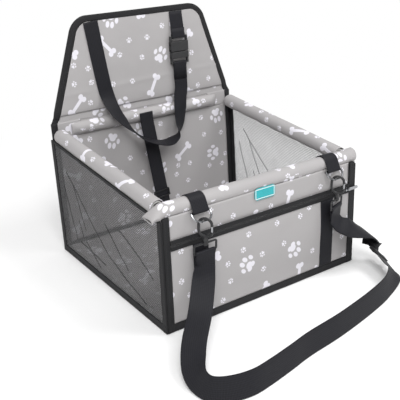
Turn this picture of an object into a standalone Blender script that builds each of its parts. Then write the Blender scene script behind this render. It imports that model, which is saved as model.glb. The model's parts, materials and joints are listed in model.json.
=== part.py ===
"""Dog car seat: a fabric basket with net sides, a folding head flap, tube stiffened rims and a carry strap.

Metres, +Z up. The origin is the middle of the underside. The front faces -Y, and +X is its right side
seen from the front. Heights on the leaning front and back are measured along their own plane.
"""

import math

import bmesh
import bpy
import numpy as np
from mathutils import Matrix, Vector

# Driving dimensions
WIDTH = 0.42
DEPTH = 0.36
FRONT_RIM_HEIGHT = 0.205
REAR_RIM_HEIGHT = 0.230
FRONT_RIM_BACK_SET = 0.025
FRONT_LEAN = math.radians(3.5)
BACK_LEAN = math.radians(5.5)
GAP = 0.0003
CLOTH = 0.0015
TUBE_RADIUS = 0.010
TUBE_WALL = 0.0016
SLEEVE_RADIUS = 0.013
SLEEVE_SLACK = 0.0005
FLAP_HINGE_LIFT = 0.0235
FLAP_RISE = 0.1835
FLAP_BASE_HALF_WIDTH = 0.200
FLAP_TOP_HALF_WIDTH = 0.140
BAND_DROP = 0.0195
BAND_HALF_WIDTH = 0.148
WEBBING = 0.030
WEBBING_THICKNESS = 0.0015
CARRY_WEBBING = 0.038
BINDING = 0.012
BINDING_THICKNESS = 0.003
LEFT_STATION_IN = 0.071
RIGHT_STATION_IN = 0.060
FLAP_HINGE_HEIGHT = REAR_RIM_HEIGHT + FLAP_HINGE_LIFT
FLAP_TOP_HEIGHT = FLAP_HINGE_HEIGHT + FLAP_RISE
BAND_HEIGHT = FLAP_HINGE_HEIGHT - BAND_DROP
RIM_X = WIDTH / 2 - SLEEVE_RADIUS
STATION_XS = (LEFT_STATION_IN - WIDTH / 2, WIDTH / 2 - RIGHT_STATION_IN)
MERGE = 0.00001
WELD = 0.000001

PART = bpy.data.collections.new("dog_car_seat")
CUTTERS = bpy.data.collections.new("cutters")


def clear_scene():
    for obj in list(bpy.data.objects):
        bpy.data.objects.remove(obj, do_unlink=True)
    bpy.context.scene.collection.children.link(PART)
    bpy.context.scene.collection.children.link(CUTTERS)


def material(name, colour, roughness, metallic=0.0):
    made = bpy.data.materials.new(name)
    made.use_nodes = True
    shader = made.node_tree.nodes["Principled BSDF"]
    shader.inputs["Base Color"].default_value = (*colour, 1.0)
    shader.inputs["Roughness"].default_value = roughness
    shader.inputs["Metallic"].default_value = metallic
    return made


def add(name, data, finish, frame=None):
    obj = bpy.data.objects.new(name, data)
    data.materials.append(finish.copy())
    PART.objects.link(obj)
    if frame is not None:
        obj.matrix_world = frame
    return obj


def mesh_from(name, points, faces):
    mesh = bpy.data.meshes.new(name)
    mesh.from_pydata([tuple(point) for point in points], [], faces)
    mesh.update()
    return mesh


def plate(name, loops, low, high, frame, finish):
    """A flat outline, with any holes as further loops, between two heights on a frame."""
    curve = bpy.data.curves.new(name, "CURVE")
    curve.dimensions = "2D"
    curve.fill_mode = "BOTH"
    curve.extrude = (high - low) / 2
    for loop in loops:
        spline = curve.splines.new("POLY")
        spline.points.add(len(loop) - 1)
        for point, (x, y) in zip(spline.points, loop):
            point.co = (x, y, 0.0, 1.0)
        spline.use_cyclic_u = True
    return add(name, curve, finish, frame @ Matrix.Translation((0, 0, (low + high) / 2)))


def rod(name, points, radius, finish, frame=None, closed=False, sides=2):
    """A round bar along points, with filled ends unless it closes on itself."""
    curve = bpy.data.curves.new(name, "CURVE")
    curve.dimensions = "3D"
    curve.bevel_depth = radius
    curve.bevel_resolution = sides
    curve.use_fill_caps = not closed
    spline = curve.splines.new("POLY")
    spline.points.add(len(points) - 1)
    for point, place in zip(spline.points, points):
        point.co = (*place, 1.0)
    spline.use_cyclic_u = closed
    return add(name, curve, finish, frame)


def turned(name, profile, finish, frame, steps, ring=False):
    """A profile of (radius, height) points, outer side downwards, turned about the frame's Z."""
    mesh = bpy.data.meshes.new(name)
    links = [(i, i + 1) for i in range(len(profile) - 1)]
    if ring:
        links.append((len(profile) - 1, 0))
    mesh.from_pydata([(r, 0.0, z) for r, z in profile], links, [])
    obj = add(name, mesh, finish, frame)
    screw = obj.modifiers.new("turn", "SCREW")
    screw.steps = steps
    screw.render_steps = steps
    screw.use_merge_vertices = True
    screw.merge_threshold = MERGE
    return obj


def block(name, low, high, frame, finish, rounding=0.0):
    """A box between two corners of a frame, with rounded edges if asked."""
    low, high = Vector(low), Vector(high)
    mesh = bpy.data.meshes.new(name)
    shape = bmesh.new()
    bmesh.ops.create_cube(shape, size=1.0)
    for vertex in shape.verts:
        vertex.co = [(low[i] + high[i]) / 2 + vertex.co[i] * (high[i] - low[i]) for i in range(3)]
    shape.to_mesh(mesh)
    shape.free()
    obj = add(name, mesh, finish, frame)
    if rounding:
        bevel = obj.modifiers.new("rounding", "BEVEL")
        bevel.width = rounding
        bevel.segments = 2
    return obj


def as_mesh(obj):
    """The object made a closed mesh, so that it can be cut or joined."""
    scene_graph = bpy.context.evaluated_depsgraph_get()
    scene_graph.update()
    mesh = bpy.data.meshes.new_from_object(obj.evaluated_get(scene_graph))
    shape = bmesh.new()
    shape.from_mesh(mesh)
    bmesh.ops.remove_doubles(shape, verts=shape.verts, dist=WELD)
    bmesh.ops.recalc_face_normals(shape, faces=shape.faces)
    shape.to_mesh(mesh)
    shape.free()
    name, place = obj.name, obj.matrix_world.copy()
    bpy.data.objects.remove(obj, do_unlink=True)
    solid = bpy.data.objects.new(name, mesh)
    PART.objects.link(solid)
    solid.matrix_world = place
    return solid


def combine(operation, body, *others):
    """The body with other solids joined to it or cut from it."""
    body = as_mesh(body)
    for other in others:
        other = as_mesh(other)
        PART.objects.unlink(other)
        CUTTERS.objects.link(other)
        other.hide_render = True
        other.display_type = "WIRE"
        boolean = body.modifiers.new(other.name, "BOOLEAN")
        boolean.operation = operation
        boolean.object = other
    return body


def columns(x, y, z, origin=(0, 0, 0)):
    """A frame from its three axes and its origin."""
    frame = Matrix((x, y, z)).transposed().to_4x4()
    frame.translation = Vector(origin)
    return frame


def arc(centre, radius, start, end, steps):
    """Points on an arc, with its angles in degrees."""
    angles = np.radians(np.linspace(start, end, steps + 1))
    return [(centre[0] + radius * math.cos(a), centre[1] + radius * math.sin(a)) for a in angles]


def rounded(corners, radii, steps=4):
    """A polygon with each corner turned into an arc of its own radius."""
    loop = []
    for i, corner in enumerate(corners):
        here = Vector(corner)
        before = (Vector(corners[i - 1]) - here).normalized()
        after = (Vector(corners[(i + 1) % len(corners)]) - here).normalized()
        radius = radii[i]
        if not radius:
            loop.append(tuple(here))
            continue
        half = before.angle(after) / 2
        centre = here + (before + after).normalized() * radius / math.sin(half)
        first = here + before * radius / math.tan(half) - centre
        last = here + after * radius / math.tan(half) - centre
        for k in range(steps + 1):
            spoke = first.lerp(last, k / steps).normalized() * radius
            loop.append(tuple(centre + spoke))
    return loop


def smooth_route(points, count):
    """Points evenly spread along a smooth curve through the route's own points."""
    points = [np.array(p, float) for p in points]
    ends = [2 * points[0] - points[1], *points, 2 * points[-1] - points[-2]]
    fine = []
    for a, b, c, d in zip(ends, ends[1:], ends[2:], ends[3:]):
        for t in np.linspace(0, 1, 24, endpoint=False):
            bend, twist = 2 * a - 5 * b + 4 * c - d, 3 * b - a - 3 * c + d
            fine.append(0.5 * (2 * b + (c - a) * t + bend * t**2 + twist * t**3))
    fine = np.array([*fine, points[-1]])
    run = np.concatenate([[0], np.cumsum(np.linalg.norm(np.diff(fine, axis=0), axis=1))])
    places = np.linspace(0, run[-1], count)
    return np.column_stack([np.interp(places, run, fine[:, k]) for k in range(3)])


def route_length(route):
    return sum(np.linalg.norm(np.subtract(a, b)) for a, b in zip(route, route[1:]))


def ribbon(name, centres, across, width, thicknesses, finish):
    """Flat webbing lofted along its centre line, with the direction of its width at each point."""
    centres = np.array(centres, float)
    along = np.gradient(centres, axis=0)
    points = []
    for centre, run, side, thickness in zip(centres, along, across, thicknesses):
        run = run / np.linalg.norm(run)
        side = np.array(side, float) - run * np.dot(side, run)
        side = side / np.linalg.norm(side) * width / 2
        face = np.cross(run, side) / (width / 2) * thickness / 2
        points += [centre - side - face, centre + side - face, centre + side + face, centre - side + face]
    faces = [(3, 2, 1, 0), tuple(len(points) - 4 + k for k in range(4))]
    for i in range(0, len(points) - 4, 4):
        for k in range(4):
            faces.append((i + k, i + (k + 1) % 4, i + 4 + (k + 1) % 4, i + 4 + k))
    return add(name, mesh_from(name, points, faces), finish)


# Finishes
PRINTED = material("printed_fabric", (0.44, 0.42, 0.41), 0.75)
WEB = material("webbing", (0.033, 0.033, 0.036), 0.55)
BIND = material("binding", (0.022, 0.022, 0.024), 0.75)
NET = material("net", (0.02, 0.02, 0.022), 0.7)
PVC = material("tube_plastic", (0.75, 0.75, 0.73), 0.4)
BOARD = material("board", (0.25, 0.25, 0.25), 0.6)
LINING = material("lining", (0.35, 0.34, 0.34), 0.85)
PLASTIC = material("black_plastic", (0.02, 0.02, 0.021), 0.4)
STEEL = material("plated_steel", (0.7, 0.7, 0.72), 0.25, 1.0)
TEAL = material("tag_weave", (0.03, 0.42, 0.47), 0.6)

# Frames: x across, y up the panel, z out of it; the back's z points forwards, into the basket
FRONT = columns(
    (1, 0, 0),
    (0, math.sin(FRONT_LEAN), math.cos(FRONT_LEAN)),
    (0, -math.cos(FRONT_LEAN), math.sin(FRONT_LEAN)),
    (0, -DEPTH / 2, 0),
)
BACK = columns(
    (1, 0, 0),
    (0, math.sin(BACK_LEAN), math.cos(BACK_LEAN)),
    (0, -math.cos(BACK_LEAN), math.sin(BACK_LEAN)),
    (0, DEPTH / 2, 0),
)
FLOOR = Matrix.Identity(4)
PROFILE = columns((0, 1, 0), (0, 0, 1), (1, 0, 0))
SIDE = PROFILE

# Bindings, seen from the front and the back
BOTTOM_BINDING = 0.0145
EDGE_LIFT = 0.0006
SIDE_INSET = 0.0025
SIDE_BINDING_IN = WIDTH / 2 - SIDE_INSET
SIDE_BINDING_OUT = SIDE_BINDING_IN + BINDING_THICKNESS
PANEL_HALF_WIDTH = SIDE_BINDING_IN - GAP
PANEL_INNER_HALF_WIDTH = PANEL_HALF_WIDTH - BINDING - GAP
FRONT_BINDING_BACK = -CLOTH - GAP
FRONT_BINDING_FACE = 0.0024
WALL_MID = 0.0042
WALL_THICKNESS = 0.003
BACK_BINDING_THICKNESS = 0.0042
BACK_BINDING_FACE = WALL_MID + BACK_BINDING_THICKNESS / 2
BACK_BINDING_REAR = WALL_MID - BACK_BINDING_THICKNESS / 2


def front_y(height, out=0.0):
    """The front panel's y at a height, on a plane this far out from it."""
    return -DEPTH / 2 + height * math.tan(FRONT_LEAN) - out / math.cos(FRONT_LEAN)


def back_y(height, out=0.0):
    return DEPTH / 2 + height * math.tan(BACK_LEAN) - out / math.cos(BACK_LEAN)


FRONT_AXIS_Y = -DEPTH / 2 + FRONT_RIM_BACK_SET
REAR_AXIS_Y = back_y(REAR_RIM_HEIGHT, WALL_MID)
RIM_SLOPE = (REAR_RIM_HEIGHT - FRONT_RIM_HEIGHT) / (REAR_AXIS_Y - FRONT_AXIS_Y)
FRONT_AXIS = Vector((0, FRONT_AXIS_Y, FRONT_RIM_HEIGHT))
FRONT_AXIS_UP = (FRONT.inverted() @ FRONT_AXIS).y
FRONT_AXIS_IN = -(FRONT.inverted() @ FRONT_AXIS).z
PANEL_TOP = FRONT_AXIS_UP - math.sqrt((SLEEVE_RADIUS + GAP) ** 2 - (FRONT_AXIS_IN - CLOTH) ** 2)


def rim_height(y):
    """The side tube's height above a place along the depth."""
    return FRONT_RIM_HEIGHT + (y - FRONT_AXIS_Y) * RIM_SLOPE


# Rim loops and their D rings
LOOP_THICKNESS = 0.0015
LOOP_OUTER = SLEEVE_RADIUS + GAP + LOOP_THICKNESS
RING_WIRE = 0.0034
RING_BAR_DROP = 0.009
RING_BAR_OUT = 0.0055
RING_BAR_Z = FRONT_RIM_HEIGHT - RING_BAR_DROP
RING_BAR_Y = front_y(RING_BAR_Z) - RING_BAR_OUT
RING_FOLD = RING_WIRE / 2 + GAP
NOTCH_HALF_WIDTH = WEBBING / 2 + 2 * GAP
NOTCH_BOTTOM = RING_BAR_Z / math.cos(FRONT_LEAN) - RING_FOLD - LOOP_THICKNESS - 3 * GAP

# Floor
BOARD_THICKNESS = 0.004
LINING_THICKNESS = 0.005
LINING_CORNER = 0.012
BOARD_LOW = CLOTH + GAP
LINING_LOW = BOARD_LOW + BOARD_THICKNESS + GAP
FLOOR_TOP = LINING_LOW + LINING_THICKNESS


def floor_pieces():
    front = front_y(CLOTH, FRONT_BINDING_BACK) + GAP
    back = back_y(0.0, BACK_BINDING_FACE) - GAP
    side = SIDE_BINDING_IN - GAP

    def outline(inset, corner):
        x, low, high = side - inset, front + inset, back - inset
        return rounded([(-x, low), (x, low), (x, high), (-x, high)], [corner] * 4)

    plate("base_fabric", [outline(0.0, BINDING / 6)], 0.0, CLOTH, FLOOR, PRINTED)
    board_top = BOARD_LOW + BOARD_THICKNESS
    plate("base_board", [outline(2 * CLOTH, BINDING / 2)], BOARD_LOW, board_top, FLOOR, BOARD)
    plate("floor_lining", [outline(CLOTH, LINING_CORNER)], LINING_LOW, FLOOR_TOP, FLOOR, LINING)


# Zip, across the front
ZIP_DROP = 0.0539
ZIP_HEIGHT = FRONT_RIM_HEIGHT - ZIP_DROP
ZIP_TAPE = 0.0081
ZIP_BEAD = 0.0015
ZIP_SLIT = 0.0012
ZIP_BACK = 0.0022
ZIP_FACE = 0.0032
BEAD_RISE = 0.0006
SEAM_WIDTH = 0.003
ZIP_END = PANEL_INNER_HALF_WIDTH - GAP / 2
POCKET_TOP = ZIP_HEIGHT - ZIP_SLIT / 2 - ZIP_TAPE + SEAM_WIDTH
POCKET_BACK = 0.0004
POCKET_STRAP_X = -STATION_XS[0]


def front_pieces():
    wide, low = PANEL_INNER_HALF_WIDTH, BOTTOM_BINDING + GAP
    outline = [(-wide, low), (wide, low), (wide, PANEL_TOP)]
    for x in reversed(STATION_XS):
        outline += [(x + NOTCH_HALF_WIDTH, PANEL_TOP), (x + NOTCH_HALF_WIDTH, NOTCH_BOTTOM)]
        outline += [(x - NOTCH_HALF_WIDTH, NOTCH_BOTTOM), (x - NOTCH_HALF_WIDTH, PANEL_TOP)]
    outline.append((-wide, PANEL_TOP))
    plate("front_panel", [outline], -CLOTH, 0.0, FRONT, PRINTED)
    pocket = [(-wide, low), (wide, low), (wide, POCKET_TOP), (-wide, POCKET_TOP)]
    plate("pocket_panel", [pocket], POCKET_BACK, POCKET_BACK + CLOTH, FRONT, PRINTED)
    outer, inner = PANEL_HALF_WIDTH, PANEL_HALF_WIDTH - BINDING
    frame = [(-outer, EDGE_LIFT), (outer, EDGE_LIFT), (outer, PANEL_TOP), (inner, PANEL_TOP)]
    frame += [(inner, BOTTOM_BINDING), (-inner, BOTTOM_BINDING), (-inner, PANEL_TOP), (-outer, PANEL_TOP)]
    plate("front_binding", [frame], FRONT_BINDING_BACK, FRONT_BINDING_FACE, FRONT, BIND)


def zip_tapes():
    """Each tape is an extruded section: sewn edge, thin tape and the coil beside the slit."""
    across = FRONT @ PROFILE
    slit, bead, tape = ZIP_SLIT / 2, ZIP_SLIT / 2 + ZIP_BEAD, ZIP_SLIT / 2 + ZIP_TAPE
    low, high = ZIP_BACK - BEAD_RISE, ZIP_FACE + BEAD_RISE
    upper = [
        (slit, low), (bead, low), (bead, ZIP_BACK), (tape - SEAM_WIDTH, ZIP_BACK), (tape - SEAM_WIDTH, GAP),
        (tape, GAP), (tape, ZIP_FACE), (bead, ZIP_FACE), (bead, high), (slit, high),
    ]
    lower = [
        (-slit, low), (-slit, high), (-bead, high), (-bead, ZIP_FACE),
        (-tape, ZIP_FACE), (-tape, ZIP_BACK), (-bead, ZIP_BACK), (-bead, low),
    ]
    for name, section in (("zip_tape_upper", upper), ("zip_tape_lower", lower)):
        loop = [(ZIP_HEIGHT + s, z) for s, z in section]
        plate(name, [loop], -ZIP_END, ZIP_END, across, BIND)


SLIDER_LENGTH = 0.010
SLIDER_HALF_WIDTH = 0.004
SLIDER_PLATE = 0.0010
SLIDER_BACK = 0.0004
SLIDER_FACE = ZIP_FACE + BEAD_RISE + GAP
SLIDER_X = ZIP_END - SLIDER_LENGTH / 2 - GAP
LUG_RADIUS = 0.0024
LUG_BORE = 0.0013
LUG_HALF_WIDTH = 0.0008
PULLER_HALF_THICKNESS = 0.0008
PULLER_AXIS_Z = SLIDER_FACE + SLIDER_PLATE + LUG_RADIUS - GAP
PULLER_REACH = 0.0225
PULLER_HALF_WIDTH = 0.0028
PULLER_WINDOW = LUG_RADIUS + 2 * GAP
PULLER_ROUND_SHARE = 0.9


def zip_slider():
    lift = Matrix.Translation((SLIDER_X, ZIP_HEIGHT, 0))
    half = SLIDER_LENGTH / 2
    shape = [(-half, -SLIDER_HALF_WIDTH), (half, -SLIDER_HALF_WIDTH / 2), (half, SLIDER_HALF_WIDTH / 2),
             (-half, SLIDER_HALF_WIDTH)]
    shape = rounded(shape, [SLIDER_PLATE] * 4, 2)
    under = SLIDER_BACK + SLIDER_PLATE
    back = plate("zip_slider", [shape], SLIDER_BACK, under, FRONT @ lift, STEEL)
    face = plate("slider_face", [shape], SLIDER_FACE, SLIDER_FACE + SLIDER_PLATE, FRONT @ lift, STEEL)
    post = block("slider_post", (-SLIDER_PLATE, -GAP, under - GAP), (SLIDER_PLATE, GAP, SLIDER_FACE + GAP),
                 FRONT @ lift, STEEL)
    lug_frame = FRONT @ lift @ columns((1, 0, 0), (0, 0, 1), (0, -1, 0))
    base = SLIDER_FACE + SLIDER_PLATE - GAP
    crown = arc((0, PULLER_AXIS_Z), LUG_RADIUS, 180, 0, 10)
    lug_outline = [(-LUG_RADIUS, base), *crown, (LUG_RADIUS, base)]
    lug = plate("slider_lug", [lug_outline, arc((0, PULLER_AXIS_Z), LUG_BORE, 0, 330, 11)],
                -LUG_HALF_WIDTH, LUG_HALF_WIDTH, lug_frame, STEEL)
    combine("UNION", back, face, post, lug)


def zip_puller():
    """The pull tab: a cross bar through the lug, two arms beside it and the tongue."""
    lift = Matrix.Translation((SLIDER_X, ZIP_HEIGHT, PULLER_AXIS_Z))
    bar, wide, clear = PULLER_HALF_THICKNESS, PULLER_HALF_WIDTH, LUG_HALF_WIDTH + GAP
    nose = wide * PULLER_ROUND_SHARE
    tongue = [(-bar, -wide), (PULLER_REACH, -wide), (PULLER_REACH, wide), (-bar, wide)]
    tongue = rounded(tongue, [bar, nose, nose, bar])
    window = [(bar, -clear), (PULLER_WINDOW, -clear), (PULLER_WINDOW, clear), (bar, clear)]
    plate("zip_puller", [tongue, window], -bar, bar, FRONT @ lift, STEEL)


def front_trim():
    face = POCKET_BACK + CLOTH + GAP
    low, high = BOTTOM_BINDING + GAP, ZIP_HEIGHT - ZIP_SLIT / 2 - ZIP_TAPE - GAP
    for name, x in (("pocket_strap_left", -POCKET_STRAP_X), ("pocket_strap_right", POCKET_STRAP_X)):
        left, right = x - WEBBING / 2, x + WEBBING / 2
        strip = [(left, low), (right, low), (right, high), (left, high)]
        plate(name, [strip], face, face + WEBBING_THICKNESS, FRONT, WEB)
    left, right, bottom, top = -TAG_HALF_WIDTH, TAG_HALF_WIDTH, TAG_TOP - TAG_HEIGHT, TAG_TOP
    tag = rounded([(left, bottom), (right, bottom), (right, top), (left, top)], [TAG_CORNER] * 4)
    plate("label_tag", [tag], GAP, GAP + TAG_THICKNESS, FRONT @ Matrix.Translation((TAG_X, 0, 0)), TEAL)


TAG_X = -0.0035
TAG_HALF_WIDTH = 0.022
TAG_HEIGHT = 0.0205
TAG_DROP = 0.0042
TAG_TOP = FRONT_AXIS_UP - TAG_DROP
TAG_CORNER = 0.006
TAG_THICKNESS = 0.0008

# Net sides
NET_THICKNESS = 0.0009
NET_HOLES = (11, 7)
STRAND_SHARE = 0.24
SIDE_TOP_BAR = 0.005
TUBE_CLEARANCE = TUBE_RADIUS + 2 * GAP


def side_outline(inset, top_drop):
    """The side panel's corners in y and z: floor front, floor rear, rim rear, rim front."""
    low = BOTTOM_BINDING if inset else EDGE_LIFT
    front_out, back_out = FRONT_BINDING_FACE - inset, BACK_BINDING_REAR + inset
    rear_top = rim_height(back_y(REAR_RIM_HEIGHT, back_out)) - top_drop
    front_top = rim_height(front_y(FRONT_RIM_HEIGHT, front_out)) - top_drop
    return [
        (front_y(low, front_out), low), (back_y(low, back_out), low),
        (back_y(rear_top, back_out), rear_top), (front_y(front_top, front_out), front_top),
    ]


def side_pieces():
    across = (SLEEVE_RADIUS + GAP) ** 2
    drop = math.sqrt(across - (SIDE_BINDING_IN - RIM_X) ** 2) * math.hypot(1, RIM_SLOPE)
    outer = side_outline(0.0, drop)
    corner_y = FRONT_AXIS_Y + TUBE_CLEARANCE
    notch = FRONT_RIM_HEIGHT - TUBE_CLEARANCE
    outer = outer[:3] + [(corner_y, rim_height(corner_y) - drop), (corner_y, notch),
                         (front_y(notch, FRONT_BINDING_FACE), notch)]
    hole = side_outline(BINDING, drop + SIDE_TOP_BAR)
    panel = side_outline(BINDING + GAP, drop + SIDE_TOP_BAR + GAP)
    panel[0] = (panel[0][0], panel[0][1] + GAP)
    panel[1] = (panel[1][0], panel[1][1] + GAP)
    mid = (SIDE_BINDING_IN + SIDE_BINDING_OUT) / 2
    for side, sign in (("left", -1), ("right", 1)):
        low, high = sorted((sign * SIDE_BINDING_IN, sign * SIDE_BINDING_OUT))
        plate(f"side_binding_{side}", [outer, hole], low, high, SIDE, BIND)
        net(f"side_net_{side}", panel, sign * mid)


def net(name, corners, x):
    """A flat net: a grid over the panel with every second cell of every second row left open."""
    lines = []
    for count in NET_HOLES:
        steps = [0.0]
        for k in range(count):
            steps += [(k + STRAND_SHARE / 2) / count, (k + 1 - STRAND_SHARE / 2) / count]
        lines.append([*steps, 1.0])
    a, b, c, d = (np.array(corner) for corner in corners)
    across, up = lines
    points = [(x, *((a * (1 - u) + b * u) * (1 - v) + (d * (1 - u) + c * u) * v)) for v in up for u in across]
    wide = len(across)
    faces = [
        (j * wide + i, j * wide + i + 1, (j + 1) * wide + i + 1, (j + 1) * wide + i)
        for j in range(len(up) - 1)
        for i in range(wide - 1)
        if not (i % 2 and j % 2)
    ]
    obj = add(name, mesh_from(name, points, faces), NET)
    shell = obj.modifiers.new("thickness", "SOLIDIFY")
    shell.thickness = NET_THICKNESS
    shell.offset = 0


# Back wall, its sleeve band and the folding seam above it
BAND_CLOTH = 0.002
BAND_RADIUS = TUBE_RADIUS + BAND_CLOTH
SEAM_CLOTH = 0.0008
SEAM_CLEARANCE = 0.0008
WALL_TOP = FLAP_HINGE_HEIGHT - 2 * SEAM_CLEARANCE
BINDING_SHORT = 0.004
BINDING_TOP = FLAP_HINGE_HEIGHT - BINDING_SHORT


def back_pieces():
    wide, low = PANEL_INNER_HALF_WIDTH, BOTTOM_BINDING + GAP
    under_band, beside_band = BAND_HEIGHT - BAND_RADIUS - GAP, BAND_HALF_WIDTH + GAP
    wall = [(-wide, low), (wide, low), (wide, WALL_TOP), (beside_band, WALL_TOP), (beside_band, under_band),
            (-beside_band, under_band), (-beside_band, WALL_TOP), (-wide, WALL_TOP)]
    half = WALL_THICKNESS / 2
    plate("back_wall", [wall], WALL_MID - half, WALL_MID + half, BACK, PRINTED)
    outer, inner = PANEL_HALF_WIDTH, PANEL_HALF_WIDTH - BINDING
    frame = [(-outer, EDGE_LIFT), (outer, EDGE_LIFT), (outer, BINDING_TOP), (inner, BINDING_TOP)]
    frame += [(inner, BOTTOM_BINDING), (-inner, BOTTOM_BINDING), (-inner, BINDING_TOP), (-outer, BINDING_TOP)]
    plate("back_binding", [frame], BACK_BINDING_REAR, BACK_BINDING_FACE, BACK, BIND)
    reach = math.degrees(math.asin(SEAM_CLOTH / 2 / BAND_RADIUS))
    fin = FLAP_HINGE_HEIGHT - SEAM_CLEARANCE
    ring = [(BAND_HEIGHT + x, WALL_MID + y) for x, y in arc((0, 0), BAND_RADIUS, reach, 360 - reach, 28)]
    ring += [(fin, WALL_MID - SEAM_CLOTH / 2), (fin, WALL_MID + SEAM_CLOTH / 2)]
    bore = arc((BAND_HEIGHT, WALL_MID), TUBE_RADIUS + SLEEVE_SLACK, 0, 345, 23)
    plate("rear_band", [ring, bore], -BAND_HALF_WIDTH, BAND_HALF_WIDTH, BACK @ PROFILE, PRINTED)
    centre = BACK @ Vector((0, BAND_HEIGHT, WALL_MID))
    pipe("rear_tube", BAND_HALF_WIDTH - 2 * SLEEVE_SLACK, PROFILE, centre)


def pipe(name, half_length, turn, centre):
    """A plain plastic tube along the turned frame's Z."""
    outer, inner = TUBE_RADIUS, TUBE_RADIUS - TUBE_WALL
    profile = [(outer, half_length), (outer, -half_length), (inner, -half_length), (inner, half_length)]
    frame = Matrix.Translation(centre) @ turn
    return turned(name, profile, PVC, frame, 20, ring=True)


SLEEVE_END_INSET = 0.0025
FRONT_SLEEVE_HALF = SIDE_BINDING_IN - SLEEVE_END_INSET
SLEEVE_END_GAP = 0.0007
SLEEVE_REAR_Y = back_y(REAR_RIM_HEIGHT - SLEEVE_RADIUS, BACK_BINDING_FACE) - GAP
SLEEVE_CAP = 0.004
BORE = TUBE_RADIUS + SLEEVE_SLACK


def rim_sleeves():
    half = FRONT_SLEEVE_HALF
    profile = [(SLEEVE_RADIUS, half), (SLEEVE_RADIUS, -half), (BORE, -half), (BORE, half)]
    turned("front_rim_sleeve", profile, PRINTED, Matrix.Translation(FRONT_AXIS) @ PROFILE, 24, ring=True)
    pipe("front_tube", half - 5 * SLEEVE_SLACK, PROFILE, FRONT_AXIS)
    start_y = FRONT_AXIS_Y + SLEEVE_RADIUS + SLEEVE_END_GAP
    run = Vector((0, 1, RIM_SLOPE)).normalized()
    turn = columns((1, 0, 0), run.cross(Vector((1, 0, 0))), run)
    length = (SLEEVE_REAR_Y - start_y) / run.y
    cap = [(SLEEVE_RADIUS * math.sin(a), length - SLEEVE_RADIUS * (1 - math.cos(a)))
           for a in np.radians((0, 30, 60, 90))]
    bore_end = length - SLEEVE_CAP - BORE / 2
    cap += [(SLEEVE_RADIUS, 0.0), (BORE, 0.0), (BORE, bore_end), (0.0, bore_end)]
    tube_length = bore_end - 3 * SLEEVE_SLACK
    for side, sign in (("left", -1), ("right", 1)):
        start = Vector((sign * RIM_X, start_y, rim_height(start_y)))
        turned(f"{side}_rim_sleeve", cap, PRINTED, Matrix.Translation(start) @ turn, 24)
        middle = start + run * (tube_length / 2 + SLEEVE_SLACK)
        pipe(f"{side}_tube", tube_length / 2, turn, middle)


def build_basket():
    floor_pieces()
    front_pieces()
    zip_tapes()
    zip_slider()
    zip_puller()
    front_trim()
    side_pieces()
    back_pieces()
    rim_sleeves()


# Rim loops, D rings and snap hooks
RING_SWING = math.radians(45)
RING_DROP = 0.0175
RING_HALF_WIDTH = 0.0178
RING_TOP_CORNER = 0.0025
RING_BOTTOM_CORNER = 0.013
RING_Y = RING_BAR_Y - RING_DROP * math.sin(RING_SWING)
RING_Z = RING_BAR_Z - RING_DROP * math.cos(RING_SWING)
HOOK_WIRE = 0.0048
HOOK_HALF_WIDTH = 0.0106
HOOK_SPINE = 0.010
HOOK_FOOT = 0.0205
HOOK_PIVOT = 0.0130
HOOK_TIP = 0.0017
HOOK_CURVE_SHARES = ((-0.88, 0.75), (-0.5, 0.93), (0.0, 1.0), (0.5, 0.975), (0.86, 0.86))
HOOK_YAW = math.radians(-50)
HOOK_FORWARD = 0.0011
HOOK_Y = RING_Y - HOOK_FORWARD
HOOK_Z = RING_Z - (HOOK_HALF_WIDTH - HOOK_WIRE / 2 - RING_WIRE / 2 - 2 * GAP)
BARREL_RADIUS = 0.0040
BARREL_END = 0.0292
PIN_RADIUS = 0.0019
PIN_HEAD_RADIUS = 0.0032
PIN_HEAD = 0.0016
BOSS_RADIUS = 0.0044
BOSS_HEIGHT = 0.0042
BOSS_TOP = BARREL_END + GAP
PIN_END = BOSS_TOP + BOSS_HEIGHT + GAP + PIN_HEAD
GATE_RADIUS = 0.0018
GATE_HINGE = HOOK_PIVOT - GAP - GATE_RADIUS
GATE_LENGTH = GATE_HINGE - HOOK_TIP - 2 * GAP
EYE_WIRE = 0.0036
EYE_SIDE_CLEARANCE = 0.0026
EYE_HEIGHT = 0.0154
EYE_CORNER = 0.0026
EYE_TOP = BOSS_TOP + BOSS_HEIGHT / 2
EYE_BAR = EYE_TOP + EYE_HEIGHT
EYE_YAWS = (0.0, math.radians(20))
SIDES = ("left", "right")


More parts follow.
